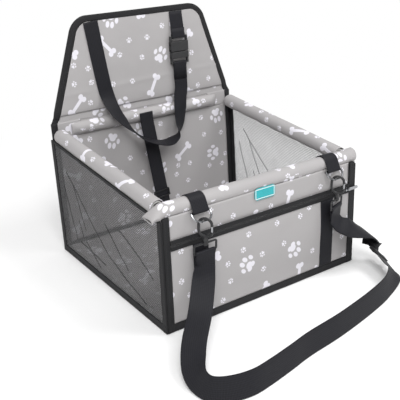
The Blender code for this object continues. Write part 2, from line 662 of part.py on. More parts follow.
def rim_loops():
    """Webbing round the front rim and the ring's bar: the hull of two circles with their bores."""
    run = Vector((RING_BAR_Y - FRONT_AXIS_Y, RING_BAR_Z - FRONT_RIM_HEIGHT))
    turn = math.degrees(math.atan2(run.y, run.x))
    fold = RING_FOLD + LOOP_THICKNESS
    spread = math.degrees(math.acos((LOOP_OUTER - fold) / run.length))
    rim, bar = (FRONT_AXIS_Y, FRONT_RIM_HEIGHT), (RING_BAR_Y, RING_BAR_Z)
    outline = arc(rim, LOOP_OUTER, turn + spread, turn + 360 - spread, 26)
    outline += arc(bar, fold, turn - spread, turn + spread, 8)
    bores = [arc(rim, SLEEVE_RADIUS + GAP, 0, 345, 23), arc(bar, RING_FOLD, 0, 330, 11)]
    for side, x in zip(SIDES, STATION_XS):
        plate(f"rim_loop_{side}", [outline, *bores], x - WEBBING / 2, x + WEBBING / 2, SIDE, WEB)
        down = Vector((0, -math.sin(RING_SWING), -math.cos(RING_SWING)))
        frame = columns((1, 0, 0), down, Vector((1, 0, 0)).cross(down), (x, RING_BAR_Y, RING_BAR_Z))
        half = RING_HALF_WIDTH
        corners = [(-half, 0), (half, 0), (half, RING_DROP), (-half, RING_DROP)]
        radii = [RING_TOP_CORNER, RING_TOP_CORNER, RING_BOTTOM_CORNER, RING_BOTTOM_CORNER]
        path = [(u, v, 0.0) for u, v in rounded(corners, radii, 6)]
        rod(f"d_ring_{side}", path, RING_WIRE / 2, STEEL, frame, closed=True)


def post(name, radius, top, bottom, finish, frame, steps=14):
    profile = [(0.0, top), (radius, top), (radius, bottom), (0.0, bottom)]
    return turned(name, profile, finish, frame, steps)


def hook_path():
    """From the tip over the crown, down the spine, under to the gate's pivot; crown centre at zero."""
    half, foot = HOOK_HALF_WIDTH, HOOK_FOOT
    path = [(half, -HOOK_TIP), *arc((0, 0), half, 0, 180, 12), (-half, -HOOK_SPINE)]
    path += [(half * across, -foot * down) for across, down in HOOK_CURVE_SHARES]
    path += [(half, -HOOK_PIVOT - HOOK_TIP), (half, -HOOK_PIVOT)]
    return [(u, 0.0, w) for u, w in path]


def eye_path(half):
    corners = [(-half, -EYE_BAR), (half, -EYE_BAR), (half, -EYE_TOP), (-half, -EYE_TOP)]
    return [(u, 0.0, w) for u, w in rounded(corners, [EYE_CORNER] * 4)]


def gate(name, frame):
    """A sprung bar with a ball foot on its hinge."""
    foot = [(GATE_RADIUS * math.cos(a), -GATE_RADIUS * math.sin(a)) for a in np.radians((0, 30, 60))]
    profile = [(0.0, GATE_LENGTH), (GATE_RADIUS, GATE_LENGTH), *foot, (0.0, -GATE_RADIUS)]
    place = frame @ Matrix.Translation((HOOK_HALF_WIDTH, 0, -GATE_HINGE))
    turned(name, profile, STEEL, place, 12)


def snap_hooks():
    for side, x, yaw in zip(SIDES, STATION_XS, EYE_YAWS):
        across = Vector((math.cos(HOOK_YAW), math.sin(HOOK_YAW), 0))
        up = Vector((0, 0, 1))
        frame = columns(across, up.cross(across), up, (x, HOOK_Y, HOOK_Z))
        body = rod(f"hook_body_{side}", hook_path(), HOOK_WIRE / 2, PLASTIC, frame)
        barrel = post(f"hook_barrel_{side}", BARREL_RADIUS, -HOOK_FOOT, -BARREL_END, PLASTIC, frame)
        pin = post(f"hook_pin_{side}", PIN_RADIUS, -HOOK_FOOT, -PIN_END + GAP, PLASTIC, frame)
        head = post(f"hook_pin_head_{side}", PIN_HEAD_RADIUS, PIN_HEAD - PIN_END, -PIN_END, PLASTIC, frame)
        combine("UNION", body, barrel, pin, head)
        gate(f"hook_gate_{side}", frame)
        along = Vector((math.cos(yaw), math.sin(yaw), 0))
        frame = columns(along, up.cross(along), up, (x, HOOK_Y, HOOK_Z))
        half = CARRY_WEBBING / 2 + EYE_SIDE_CLEARANCE
        eye = rod(f"swivel_eye_{side}", eye_path(half), EYE_WIRE / 2, PLASTIC, frame, closed=True)
        boss = post(f"eye_boss_{side}", BOSS_RADIUS, -BOSS_TOP, -BOSS_TOP - BOSS_HEIGHT, PLASTIC, frame)
        over, under = -BARREL_END + BOSS_HEIGHT, -PIN_END - BOSS_HEIGHT
        bore = post(f"eye_bore_{side}", PIN_RADIUS + GAP, over, under, PLASTIC, frame)
        combine("DIFFERENCE", combine("UNION", eye, boss), bore)


def wrapped(bar, away, front, radius, strand, tail, front_first=True):
    """Webbing round a bar of this radius: down one strand, round the bar and back along the tail."""
    bar, away, front = Vector(bar), Vector(away), Vector(front)
    turn = radius + GAP + WEBBING_THICKNESS / 2
    close = WEBBING_THICKNESS / 2 + GAP / 2
    pinch = 3 * turn
    steps = [(close, strand), (close, pinch), (turn, GAP)]
    steps += [(turn * math.cos(a), -turn * math.sin(a)) for a in np.radians((22, 45, 68, 90, 112, 135, 158))]
    steps += [(-turn, GAP), (-close, pinch), (-close, tail)]
    sign = 1 if front_first else -1
    return [bar + front * (sign * f) + away * d for f, d in steps]


ADJUSTER_BAR = 0.0022
ADJUSTER_REACH = 0.0075
ADJUSTER_DEPTH_SHARE = 0.8


def adjuster(name, frame, width, finish):
    """A strap adjuster: two outer bars behind the webbing and the middle bar in front of it."""
    bar, half, near = ADJUSTER_BAR, width / 2 + GAP, WEBBING_THICKNESS / 2 + GAP
    outer, deep, side, reach = half + bar, near + bar * ADJUSTER_DEPTH_SHARE, half + bar / 2, ADJUSTER_REACH
    rails = [
        block(f"{name}_rail_{k}", (min(a, b), -reach, -deep), (max(a, b), reach, deep), frame, finish)
        for k, (a, b) in enumerate(((half, outer), (-half, -outer)))
    ]
    lower = [
        block(f"{name}_bar_{k}", (-side, s - bar / 2, -deep), (side, s + bar / 2, -near), frame, finish)
        for k, s in enumerate((reach - bar / 2, bar / 2 - reach))
    ]
    middle = block(f"{name}_middle", (-side, -bar, near), (side, bar, deep), frame, finish)
    body = combine("UNION", rails[0], lower[0], lower[1], middle, rails[1])
    body.name = name
    return body


CARRY_ROUTE = (
    ((-0.149, -0.197, 0.088), (0.95, -0.30, 0.0)),
    ((-0.176, -0.225, 0.0545), (0.80, -0.58, -0.10)),
    ((-0.2134, -0.262, 0.0385), (0.80, -0.58, -0.05)),
    ((-0.2326, -0.285, 0.0303), (0.75, -0.60, 0.10)),
    ((-0.2457, -0.305, 0.0235), (0.70, -0.50, 0.45)),
    ((-0.2525, -0.328, 0.0200), (0.55, -0.20, 0.80)),
    ((-0.248, -0.350, 0.0190), (0.30, 0.20, 0.93)),
    ((-0.225, -0.365, 0.0186), (0.235, 0.332, 0.914)),
    ((-0.190, -0.372, 0.0186), (0.235, 0.332, 0.914)),
    ((-0.151, -0.368, 0.0186), (0.235, 0.332, 0.914)),
    ((-0.106, -0.360, 0.0186), (0.235, 0.332, 0.914)),
    ((-0.060, -0.351, 0.0186), (0.235, 0.332, 0.914)),
    ((0.019, -0.341, 0.0186), (0.235, 0.332, 0.914)),
    ((0.110, -0.323, 0.0186), (0.20, 0.34, 0.914)),
    ((0.168, -0.306, 0.0190), (0.05, 0.35, 0.92)),
)
CARRY_STRAIGHT = ((0.2080, -0.2850, 0.0215), (0.2380, -0.2050, 0.0310))
CARRY_STRAIGHT_ACROSS = (-0.70, 0.226, 0.679)
STRAIGHT_STEPS = 5
ADJUSTER_SHARE = 0.70
DOUBLED_SHARE = 0.9
CARRY_STRAND = 0.020
CARRY_TAIL = 0.019
CARRY_BLEND = 0.004
CARRY_RETURN = (
    ((0.2405, -0.2010, 0.0400), (-0.30, 0.90, 0.40)),
    ((0.233, -0.2040, 0.0530), (0.10, 0.98, 0.10)),
    ((0.217, -0.2060, 0.0670), (0.25, 0.96, 0.05)),
    ((0.195, -0.2070, 0.0780), (0.45, 0.80, 0.20)),
    ((0.171, -0.2020, 0.0890), (0.75, 0.50, 0.50)),
    ((0.1565, -0.1935, 0.0960), (0.90, 0.40, 0.20)),
)


def carry_strap():
    eyes = [
        (Vector((x, HOOK_Y, HOOK_Z - EYE_BAR)), Vector((math.cos(yaw), math.sin(yaw), 0)))
        for x, yaw in zip(STATION_XS, EYE_YAWS)
    ]
    down = Vector((0, 0, -1))
    ends = [
        wrapped(bar, down, down.cross(along), EYE_WIRE / 2, CARRY_STRAND, CARRY_TAIL) for bar, along in eyes
    ]
    first, last = Vector(CARRY_STRAIGHT[0]), Vector(CARRY_STRAIGHT[1])
    line = [first.lerp(last, k / STRAIGHT_STEPS) for k in range(STRAIGHT_STEPS + 1)]
    straight = [(point, CARRY_STRAIGHT_ACROSS) for point in line]
    keys = [(ends[0][0], eyes[0][1]), *CARRY_ROUTE, *straight, *CARRY_RETURN]
    keys.append((eyes[1][0] + down * (CARRY_STRAND + CARRY_BLEND), eyes[1][1]))
    route = smooth_route([key[0] for key in keys], 66)
    stations = smooth_stations([key[0] for key in keys], route)
    across = blended_across(keys, stations)
    doubled = len(CARRY_ROUTE) + 1 + STRAIGHT_STEPS * DOUBLED_SHARE
    thick = np.where(stations > doubled, 2 * WEBBING_THICKNESS + GAP, WEBBING_THICKNESS)
    left, right = ends[0][::-1][:-1], ends[1]
    centres = [*left, *route, *right]
    widths = [tuple(eyes[0][1])] * len(left) + [tuple(a) for a in across] + [tuple(eyes[1][1])] * len(right)
    thickness = [WEBBING_THICKNESS] * len(left) + list(thick) + [WEBBING_THICKNESS] * len(right)
    ribbon("carry_strap", centres, widths, CARRY_WEBBING, thickness, WEB)
    print(f"carry strap {route_length(route):.3f} m between its sewn ends")
    run = (last - first).normalized()
    side = Vector(CARRY_STRAIGHT_ACROSS)
    side = (side - run * side.dot(run)).normalized()
    place = first.lerp(last, ADJUSTER_SHARE)
    adjuster("carry_adjuster", columns(side, run, side.cross(run), place), CARRY_WEBBING, PLASTIC)


def smooth_stations(keys, route):
    """Where each point of the route lies among the key points, as a fraction between their numbers."""
    keys, found, low = np.array([tuple(k) for k in keys], float), [], 0
    for point in route:
        gaps = []
        for i in range(low, min(low + 3, len(keys) - 1)):
            a, b = keys[i], keys[i + 1]
            t = min(max(np.dot(point - a, b - a) / np.dot(b - a, b - a), 0.0), 1.0)
            gaps.append((np.linalg.norm(a + (b - a) * t - point), i + t))
        best = min(gaps)[1]
        low = int(min(best, len(keys) - 2))
        found.append(best)
    return np.maximum.accumulate(found)


def blended_across(keys, stations):
    """The direction of the webbing's width at each station, blended between the key points."""
    places = range(len(keys))
    return np.column_stack([np.interp(stations, places, [key[1][k] for key in keys]) for k in range(3)])


def build_hardware():
    rim_loops()
    snap_hooks()
    carry_strap()


# Head flap: front cloth, stiff board and rear cloth inside a sewn binding, on a cloth seam
FLAP_BINDING = 0.011
FLAP_BOARD = 0.0048
FLAP_HEM_LIFT = 0.008
FLAP_START = FLAP_HINGE_HEIGHT + FLAP_HEM_LIFT
FLAP_CORNER = 0.028
FLAP_THICKNESS = 2 * CLOTH + 2 * GAP + FLAP_BOARD
BOARD_INSET = 0.0008
SEAM_DEPTH = 0.011
FLAP_SLOPE = (FLAP_BASE_HALF_WIDTH - FLAP_TOP_HALF_WIDTH) / (FLAP_TOP_HEIGHT - FLAP_START)
FLAP_BINDING_ACROSS = FLAP_BINDING * math.hypot(1, FLAP_SLOPE)
SEAM_HALF_WIDTH = FLAP_BASE_HALF_WIDTH - FLAP_BINDING_ACROSS - SEAM_DEPTH * FLAP_SLOPE - 2 * GAP


def flap_outline(inset, corner, start):
    """The flap's outline this far inside its edge: bottom left, bottom right, top right, top left."""
    side = inset * math.hypot(1, FLAP_SLOPE)
    top = FLAP_TOP_HEIGHT - inset
    low = FLAP_BASE_HALF_WIDTH - side - (start - FLAP_START) * FLAP_SLOPE
    high = FLAP_BASE_HALF_WIDTH - side - (top - FLAP_START) * FLAP_SLOPE
    return rounded([(-low, start), (low, start), (high, top), (-high, top)], [0, 0, corner, corner], 6)


def head_flap():
    inner = flap_outline(FLAP_BINDING, FLAP_CORNER - FLAP_BINDING, FLAP_START)
    outer = flap_outline(0.0, FLAP_CORNER, FLAP_START)
    frame = outer[1:] + [outer[0], inner[0], *reversed(inner[1:])]
    plate("headrest_binding", [frame], 0.0, FLAP_THICKNESS, BACK, BIND)
    inset = FLAP_BINDING + GAP
    cloth = flap_outline(inset, FLAP_CORNER - inset, FLAP_START)
    plate("headrest_rear_cloth", [cloth], 0.0, CLOTH, BACK, PRINTED)
    plate("headrest_front_cloth", [cloth], FLAP_THICKNESS - CLOTH, FLAP_THICKNESS, BACK, PRINTED)
    inset += BOARD_INSET
    board = flap_outline(inset, FLAP_CORNER - inset, FLAP_HINGE_HEIGHT + SEAM_DEPTH + GAP)
    plate("headrest_board", [board], CLOTH + GAP, CLOTH + GAP + FLAP_BOARD, BACK, BOARD)
    wide, half = SEAM_HALF_WIDTH, SEAM_CLOTH / 2
    low, high = FLAP_HINGE_HEIGHT + SEAM_CLEARANCE, FLAP_HINGE_HEIGHT + SEAM_DEPTH
    seam = [(-wide, low), (wide, low), (wide, high), (-wide, high)]
    plate("headrest_seam", [seam], WALL_MID - half, WALL_MID + half, BACK, PRINTED)


# Side release buckle on the flap, in its own frame: x across, y up the flap, z out of it
BUCKLE_X = 0.080
BUCKLE_DROP = 0.087
BUCKLE_HEIGHT = FLAP_TOP_HEIGHT - BUCKLE_DROP
BUCKLE_HALF_WIDTH = 0.0205
BUCKLE_DEPTH = 0.010
BUCKLE_MID = BUCKLE_DEPTH / 2
MOUTH = -0.002
SOCKET_TOP = 0.018
SOCKET_WALL = 0.0018
CAVITY_HALF_WIDTH = 0.0172
CAVITY_TOP = 0.0145
PRONG_TOP = 0.0125
WINDOW_TOP = PRONG_TOP + GAP
EAR_WIDTH = 0.0040
EAR_HALF_DEPTH = 0.0022
BAR_RADIUS = 0.0016
SOCKET_BAR = 0.0265
PLUG_BAR = -0.0245
PLUG_TOP = MOUTH - 2 * GAP
PLUG_LOW = -0.0160
TONGUE_HALF_WIDTH = 0.0035
TONGUE_TOP = 0.0100
TONGUE_HALF_DEPTH = 0.0020
PRONG_X = 0.0145
PRONG_HALF_WIDTH = 0.0020
PRONG_HINGE = MOUTH + PRONG_HALF_WIDTH - GAP
PRONG_HALF_DEPTH = 0.0027
BARB_REACH = 0.0200
BARB_LOW = 0.0020
BARB_TOP = 0.0095
BUCKLE_ROUNDING = 0.0015
BUCKLE = BACK @ Matrix.Translation((BUCKLE_X, BUCKLE_HEIGHT, FLAP_THICKNESS + GAP))


def ears(name, bar, body_edge):
    """Two side ears with a round bar between them for the webbing."""
    low, high = sorted((bar, body_edge))
    low, high = low - (BAR_RADIUS if bar == low else GAP), high + (BAR_RADIUS if bar == high else GAP)
    pieces = []
    for k, sign in enumerate((-1, 1)):
        left, right = sorted((sign * (BUCKLE_HALF_WIDTH - EAR_WIDTH), sign * BUCKLE_HALF_WIDTH))
        near, far = (left, low, BUCKLE_MID - EAR_HALF_DEPTH), (right, high, BUCKLE_MID + EAR_HALF_DEPTH)
        pieces.append(block(f"{name}_ear_{k}", near, far, BUCKLE, PLASTIC))
    reach = BUCKLE_HALF_WIDTH - BAR_RADIUS
    ends = [(-reach, bar, BUCKLE_MID), (reach, bar, BUCKLE_MID)]
    pieces.append(rod(f"{name}_bar", ends, BAR_RADIUS, PLASTIC, BUCKLE))
    return pieces


def buckle_socket():
    wide = BUCKLE_HALF_WIDTH
    near, far = (-wide, MOUTH, 0), (wide, SOCKET_TOP, BUCKLE_DEPTH)
    body = block("buckle_socket", near, far, BUCKLE, PLASTIC, BUCKLE_ROUNDING)
    body = combine("UNION", body, *ears("socket", SOCKET_BAR, SOCKET_TOP))
    low, high = SOCKET_WALL, BUCKLE_DEPTH - SOCKET_WALL
    over = BUCKLE_DEPTH
    near, far = (-CAVITY_HALF_WIDTH, MOUTH - over, low), (CAVITY_HALF_WIDTH, CAVITY_TOP, high)
    cavity = block("socket_cavity", near, far, BUCKLE, PLASTIC)
    near, far = (-wide - over, MOUTH - over, low), (wide + over, WINDOW_TOP, high)
    window = block("socket_window", near, far, BUCKLE, PLASTIC)
    combine("DIFFERENCE", body, cavity, window)


def buckle_plug():
    wide = BUCKLE_HALF_WIDTH
    near, far = (-wide, PLUG_LOW, GAP), (wide, PLUG_TOP, BUCKLE_DEPTH - GAP)
    body = block("buckle_plug", near, far, BUCKLE, PLASTIC, BUCKLE_ROUNDING)
    near = (-TONGUE_HALF_WIDTH, PLUG_LOW / 2, BUCKLE_MID - TONGUE_HALF_DEPTH)
    far = (TONGUE_HALF_WIDTH, TONGUE_TOP, BUCKLE_MID + TONGUE_HALF_DEPTH)
    tongue = block("plug_tongue", near, far, BUCKLE, PLASTIC)
    combine("UNION", body, *ears("plug", PLUG_BAR, PLUG_LOW), tongue)


def buckle_prongs():
    """Each prong turns on a round root; its barb fills the socket's side opening."""
    for side, sign in (("left", -1), ("right", 1)):
        frame = BUCKLE @ Matrix.Translation((sign * PRONG_X, PRONG_HINGE, BUCKLE_MID))
        half, top = PRONG_HALF_WIDTH, PRONG_TOP - PRONG_HINGE
        reach, low, high = BARB_REACH - PRONG_X, BARB_LOW - PRONG_HINGE, BARB_TOP - PRONG_HINGE
        outline = arc((0, 0), half, 180, 360, 10)
        outline += [(half, low), (reach, low), (reach, high), (half, top), (-half, top)]
        outline = [(sign * x, y) for x, y in outline]
        plate(f"buckle_prong_{side}", [outline], -PRONG_HALF_DEPTH, PRONG_HALF_DEPTH, frame, PLASTIC)


def on_flap(x, height, out):
    return BACK @ Vector((x, height, out))


STRAP_ON_FLAP = FLAP_THICKNESS + GAP + WEBBING_THICKNESS / 2
STRAP_TOP = FLAP_TOP_HEIGHT - FLAP_BINDING - GAP
TAIL_LENGTH = 0.033
LOOP_ROUTE = (
    ((0.0745, 0.1885, 0.258), (1.0, 0.0, 0.0)),
    ((0.0700, 0.1825, 0.235), (1.0, 0.1, 0.0)),
    ((0.0665, 0.1790, 0.210), (0.95, 0.35, 0.0)),
    ((0.0600, 0.1745, 0.192), (0.75, 0.65, 0.1)),
    ((0.0470, 0.1700, 0.1805), (0.3, 0.95, 0.1)),
    ((0.0260, 0.1640, 0.1765), (0.0, 1.0, 0.1)),
    ((-0.0080, 0.1550, 0.1865), (0.0, 1.0, 0.1)),
    ((-0.0360, 0.1560, 0.2005), (0.1, 1.0, 0.1)),
    ((-0.0530, 0.1615, 0.2165), (0.3, 0.9, 0.0)),
    ((-0.0690, 0.1690, 0.2365), (0.75, 0.6, 0.0)),
    ((-0.0820, 0.1800, 0.2580), (0.95, 0.3, 0.0)),
)
LOOP_ON_FLAP = (
    (-0.0880, 0.2850, STRAP_ON_FLAP + WEBBING_THICKNESS),
    (-0.0935, 0.3150, STRAP_ON_FLAP),
    (-0.1010, 0.3700, STRAP_ON_FLAP),
    (-0.1080, STRAP_TOP, STRAP_ON_FLAP),
)


def headrest_strap():
    up, out, side = Vector((0, 1, 0)), Vector((0, 0, 1)), Vector((1, 0, 0))
    across = BACK.to_3x3() @ side
    socket_bar = Vector((BUCKLE_X, BUCKLE_HEIGHT + SOCKET_BAR, FLAP_THICKNESS + GAP + BUCKLE_MID))
    turns = wrapped(socket_bar, up, -out, BAR_RADIUS, TAIL_LENGTH / 2, TAIL_LENGTH / 2)
    start = [Vector((BUCKLE_X, STRAP_TOP - drop, STRAP_ON_FLAP)) for drop in (0, TAIL_LENGTH / 4)]
    path = [BACK @ point for point in (*start, *turns)]
    ribbon("headrest_strap_upper", path, [across] * len(path), WEBBING, [WEBBING_THICKNESS] * len(path), WEB)
    plug_bar = Vector((BUCKLE_X, BUCKLE_HEIGHT + PLUG_BAR, socket_bar.z))
    path = [BACK @ point for point in wrapped(plug_bar, -up, out, BAR_RADIUS, TAIL_LENGTH, TAIL_LENGTH)]
    ribbon("headrest_strap_tail", path, [across] * len(path), WEBBING, [WEBBING_THICKNESS] * len(path), WEB)
    end = plug_bar.y - TAIL_LENGTH - 2 * GAP
    keys = [
        (on_flap(BUCKLE_X, end, plug_bar.z), across),
        (on_flap(BUCKLE_X, end - TAIL_LENGTH / 2, plug_bar.z), across),
        *LOOP_ROUTE,
        *((on_flap(*place), across) for place in LOOP_ON_FLAP),
    ]
    cloth_strip("headrest_strap_loop", keys, 40, WEBBING)


def cloth_strip(name, keys, count, width):
    """Webbing through key points with the direction of its width blended between them."""
    route = smooth_route([key[0] for key in keys], count)
    stations = smooth_stations([key[0] for key in keys], route)
    ribbon(name, route, blended_across(keys, stations), width, [WEBBING_THICKNESS] * count, WEB)
    print(f"{name} {route_length(route):.3f} m")


TETHER_X = -0.0100
TETHER_TOP = BAND_HEIGHT + BAND_RADIUS / 2
TETHER_OUT = WALL_MID + BAND_RADIUS + GAP + WEBBING_THICKNESS / 2
TETHER_STRAIGHT = ((-0.0095, 0.18375, 0.2227), (0.0040, 0.1500, 0.0580))
TETHER_ROUTE = ((0.0045, 0.1435, 0.0370), (0.0050, 0.1330, 0.0215), (0.0050, 0.1130, 0.0140),
                (0.0050, 0.0900, 0.0125), (0.0050, 0.0640, 0.0125))
TETHER_HOOK_X = 0.0050
TETHER_EYE_Y = 0.0340
TETHER_EYE_Z = FLOOR_TOP + 2 * GAP + EYE_WIRE / 2 + GAP + WEBBING_THICKNESS
TETHER_ADJUSTER_SHARE = 0.90
TETHER_STRAND = 0.018
TETHER_STEPS = 8
TETHER_NECK_SHARE = 2 / 3


def tether():
    across = Vector((1, 0, 0))
    bar = Vector((TETHER_HOOK_X, TETHER_EYE_Y, TETHER_EYE_Z))
    turns = wrapped(bar, (0, 1, 0), (0, 0, -1), EYE_WIRE / 2, TETHER_STRAND, TETHER_STRAND)
    first, last = Vector(TETHER_STRAIGHT[0]), Vector(TETHER_STRAIGHT[1])
    line = [first.lerp(last, k / TETHER_STEPS) for k in range(TETHER_STEPS + 1)]
    keys = [on_flap(TETHER_X, TETHER_TOP, TETHER_OUT), *line, *(Vector(p) for p in TETHER_ROUTE), turns[0]]
    route = smooth_route(keys, 36)
    path = [*route, *turns[1:]]
    ribbon("tether_strap", path, [across] * len(path), WEBBING, [WEBBING_THICKNESS] * len(path), WEB)
    print(f"tether {route_length(route):.3f} m")
    run = (last - first).normalized()
    side = (across - run * across.dot(run)).normalized()
    place = first.lerp(last, TETHER_ADJUSTER_SHARE)
    adjuster("tether_adjuster", columns(side, run, side.cross(run), place), WEBBING, PLASTIC)
    frame = columns(across, (0, 0, 1), (0, -1, 0), (TETHER_HOOK_X, TETHER_EYE_Y - EYE_BAR, TETHER_EYE_Z))
    body = rod("tether_hook", hook_path(), HOOK_WIRE / 2, PLASTIC, frame)
    barrel = post("tether_barrel", BARREL_RADIUS * TETHER_NECK_SHARE, -HOOK_FOOT, -EYE_TOP, PLASTIC, frame)
    eye_line = eye_path(WEBBING / 2 + EYE_SIDE_CLEARANCE)
    eye = rod("tether_eye", eye_line, EYE_WIRE / 2, PLASTIC, frame, closed=True)
    combine("UNION", body, barrel, eye)
    gate("tether_gate", frame)


def build_soft_goods():
    head_flap()
    buckle_socket()
    buckle_plug()
    buckle_prongs()
    headrest_strap()
    tether()


clear_scene()
build_basket()
build_hardware()
build_soft_goods()
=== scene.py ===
import json
import math

import bpy
import numpy as np
from mathutils import Matrix, Vector, noise
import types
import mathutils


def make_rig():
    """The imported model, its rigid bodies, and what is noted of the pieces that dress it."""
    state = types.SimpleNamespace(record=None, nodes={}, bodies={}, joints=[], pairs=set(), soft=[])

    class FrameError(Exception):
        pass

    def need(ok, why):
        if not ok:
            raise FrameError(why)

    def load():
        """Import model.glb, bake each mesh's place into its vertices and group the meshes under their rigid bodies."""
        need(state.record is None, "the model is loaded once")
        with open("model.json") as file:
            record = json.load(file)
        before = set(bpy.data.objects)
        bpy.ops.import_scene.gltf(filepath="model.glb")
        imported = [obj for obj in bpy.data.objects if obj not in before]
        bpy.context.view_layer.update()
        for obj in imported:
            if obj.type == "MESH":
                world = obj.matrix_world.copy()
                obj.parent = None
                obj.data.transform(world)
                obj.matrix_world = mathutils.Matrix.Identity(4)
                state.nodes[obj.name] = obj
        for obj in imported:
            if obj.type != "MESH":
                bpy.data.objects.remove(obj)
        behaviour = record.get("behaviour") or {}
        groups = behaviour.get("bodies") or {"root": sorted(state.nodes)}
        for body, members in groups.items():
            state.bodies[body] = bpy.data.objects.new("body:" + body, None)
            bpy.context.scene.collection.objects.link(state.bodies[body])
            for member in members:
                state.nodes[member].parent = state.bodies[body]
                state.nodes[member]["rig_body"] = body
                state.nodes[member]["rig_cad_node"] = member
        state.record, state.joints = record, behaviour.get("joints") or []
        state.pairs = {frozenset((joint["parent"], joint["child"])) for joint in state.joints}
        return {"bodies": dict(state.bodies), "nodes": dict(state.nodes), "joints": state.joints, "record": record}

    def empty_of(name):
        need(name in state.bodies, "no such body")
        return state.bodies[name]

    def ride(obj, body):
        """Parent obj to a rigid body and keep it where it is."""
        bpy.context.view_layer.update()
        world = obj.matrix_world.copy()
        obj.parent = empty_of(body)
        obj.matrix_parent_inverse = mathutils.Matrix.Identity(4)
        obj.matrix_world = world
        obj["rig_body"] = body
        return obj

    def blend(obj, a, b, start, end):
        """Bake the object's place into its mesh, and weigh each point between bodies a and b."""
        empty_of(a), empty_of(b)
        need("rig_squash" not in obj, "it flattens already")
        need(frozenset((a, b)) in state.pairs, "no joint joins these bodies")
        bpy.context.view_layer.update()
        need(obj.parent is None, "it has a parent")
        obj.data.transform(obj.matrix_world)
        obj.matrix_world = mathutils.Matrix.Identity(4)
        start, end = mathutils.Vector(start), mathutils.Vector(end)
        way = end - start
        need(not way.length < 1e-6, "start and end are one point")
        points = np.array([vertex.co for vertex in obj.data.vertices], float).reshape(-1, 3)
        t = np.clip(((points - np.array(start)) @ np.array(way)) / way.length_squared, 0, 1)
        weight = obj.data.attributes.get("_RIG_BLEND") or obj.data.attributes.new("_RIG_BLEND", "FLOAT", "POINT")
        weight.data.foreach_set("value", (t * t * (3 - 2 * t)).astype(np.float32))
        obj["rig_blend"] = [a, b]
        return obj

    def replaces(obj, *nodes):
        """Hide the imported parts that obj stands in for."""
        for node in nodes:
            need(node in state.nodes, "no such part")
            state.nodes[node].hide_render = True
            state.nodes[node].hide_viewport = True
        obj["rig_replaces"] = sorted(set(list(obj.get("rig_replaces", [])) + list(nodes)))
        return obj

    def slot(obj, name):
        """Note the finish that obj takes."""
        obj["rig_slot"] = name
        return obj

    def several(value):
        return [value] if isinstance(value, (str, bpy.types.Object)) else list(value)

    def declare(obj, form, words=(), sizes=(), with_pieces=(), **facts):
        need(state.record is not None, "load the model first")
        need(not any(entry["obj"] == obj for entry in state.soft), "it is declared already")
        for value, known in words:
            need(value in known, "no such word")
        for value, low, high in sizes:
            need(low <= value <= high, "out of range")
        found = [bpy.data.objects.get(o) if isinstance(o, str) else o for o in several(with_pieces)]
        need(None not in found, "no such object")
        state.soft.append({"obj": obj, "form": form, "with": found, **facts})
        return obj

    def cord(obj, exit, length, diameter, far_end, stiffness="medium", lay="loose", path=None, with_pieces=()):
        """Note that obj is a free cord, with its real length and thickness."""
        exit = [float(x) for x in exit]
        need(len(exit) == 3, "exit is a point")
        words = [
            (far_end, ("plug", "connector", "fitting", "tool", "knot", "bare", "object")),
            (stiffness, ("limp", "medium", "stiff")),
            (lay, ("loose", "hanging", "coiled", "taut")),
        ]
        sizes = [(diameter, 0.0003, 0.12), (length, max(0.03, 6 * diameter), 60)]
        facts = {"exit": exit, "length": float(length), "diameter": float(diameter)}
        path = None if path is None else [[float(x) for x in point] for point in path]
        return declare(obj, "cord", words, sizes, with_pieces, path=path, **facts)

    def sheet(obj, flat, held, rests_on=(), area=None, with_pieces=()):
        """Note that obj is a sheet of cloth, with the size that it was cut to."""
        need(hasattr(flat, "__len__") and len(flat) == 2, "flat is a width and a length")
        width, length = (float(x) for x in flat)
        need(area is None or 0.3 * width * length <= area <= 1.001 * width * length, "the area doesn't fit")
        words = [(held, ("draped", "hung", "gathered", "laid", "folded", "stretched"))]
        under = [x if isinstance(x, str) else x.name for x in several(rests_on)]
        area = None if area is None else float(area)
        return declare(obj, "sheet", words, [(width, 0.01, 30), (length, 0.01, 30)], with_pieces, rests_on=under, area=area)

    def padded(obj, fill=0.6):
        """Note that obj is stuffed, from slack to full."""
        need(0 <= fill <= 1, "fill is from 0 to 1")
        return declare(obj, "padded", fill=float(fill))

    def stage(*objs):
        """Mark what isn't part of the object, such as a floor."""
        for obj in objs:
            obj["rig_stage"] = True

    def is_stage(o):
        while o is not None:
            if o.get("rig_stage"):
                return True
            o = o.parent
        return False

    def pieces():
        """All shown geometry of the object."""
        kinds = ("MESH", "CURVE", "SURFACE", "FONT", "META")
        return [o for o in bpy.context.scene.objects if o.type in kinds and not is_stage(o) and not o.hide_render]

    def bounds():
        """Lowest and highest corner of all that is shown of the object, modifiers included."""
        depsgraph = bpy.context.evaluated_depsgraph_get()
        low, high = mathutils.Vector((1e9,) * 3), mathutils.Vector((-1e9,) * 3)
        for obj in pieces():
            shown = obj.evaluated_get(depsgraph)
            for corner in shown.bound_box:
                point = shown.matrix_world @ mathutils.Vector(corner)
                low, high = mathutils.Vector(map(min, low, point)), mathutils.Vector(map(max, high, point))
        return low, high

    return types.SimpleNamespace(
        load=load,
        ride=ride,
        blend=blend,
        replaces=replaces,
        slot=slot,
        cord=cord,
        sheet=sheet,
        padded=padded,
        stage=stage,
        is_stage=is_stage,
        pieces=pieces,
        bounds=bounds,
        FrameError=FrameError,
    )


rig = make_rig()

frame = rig.load()
CAD_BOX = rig.bounds()

# Camera, lights and white surroundings. The camera was fitted to the photo.
EYE = Vector((-0.7523, -1.0169, 0.6819))
TARGET = Vector((-0.0280, -0.0203, 0.13))
SENSOR_WIDTH, LENS = 36, 66.85
WORLD_LIGHT, WORLD_SEEN = 0.56, 1.0
WHITE = (1, 1, 1, 1)


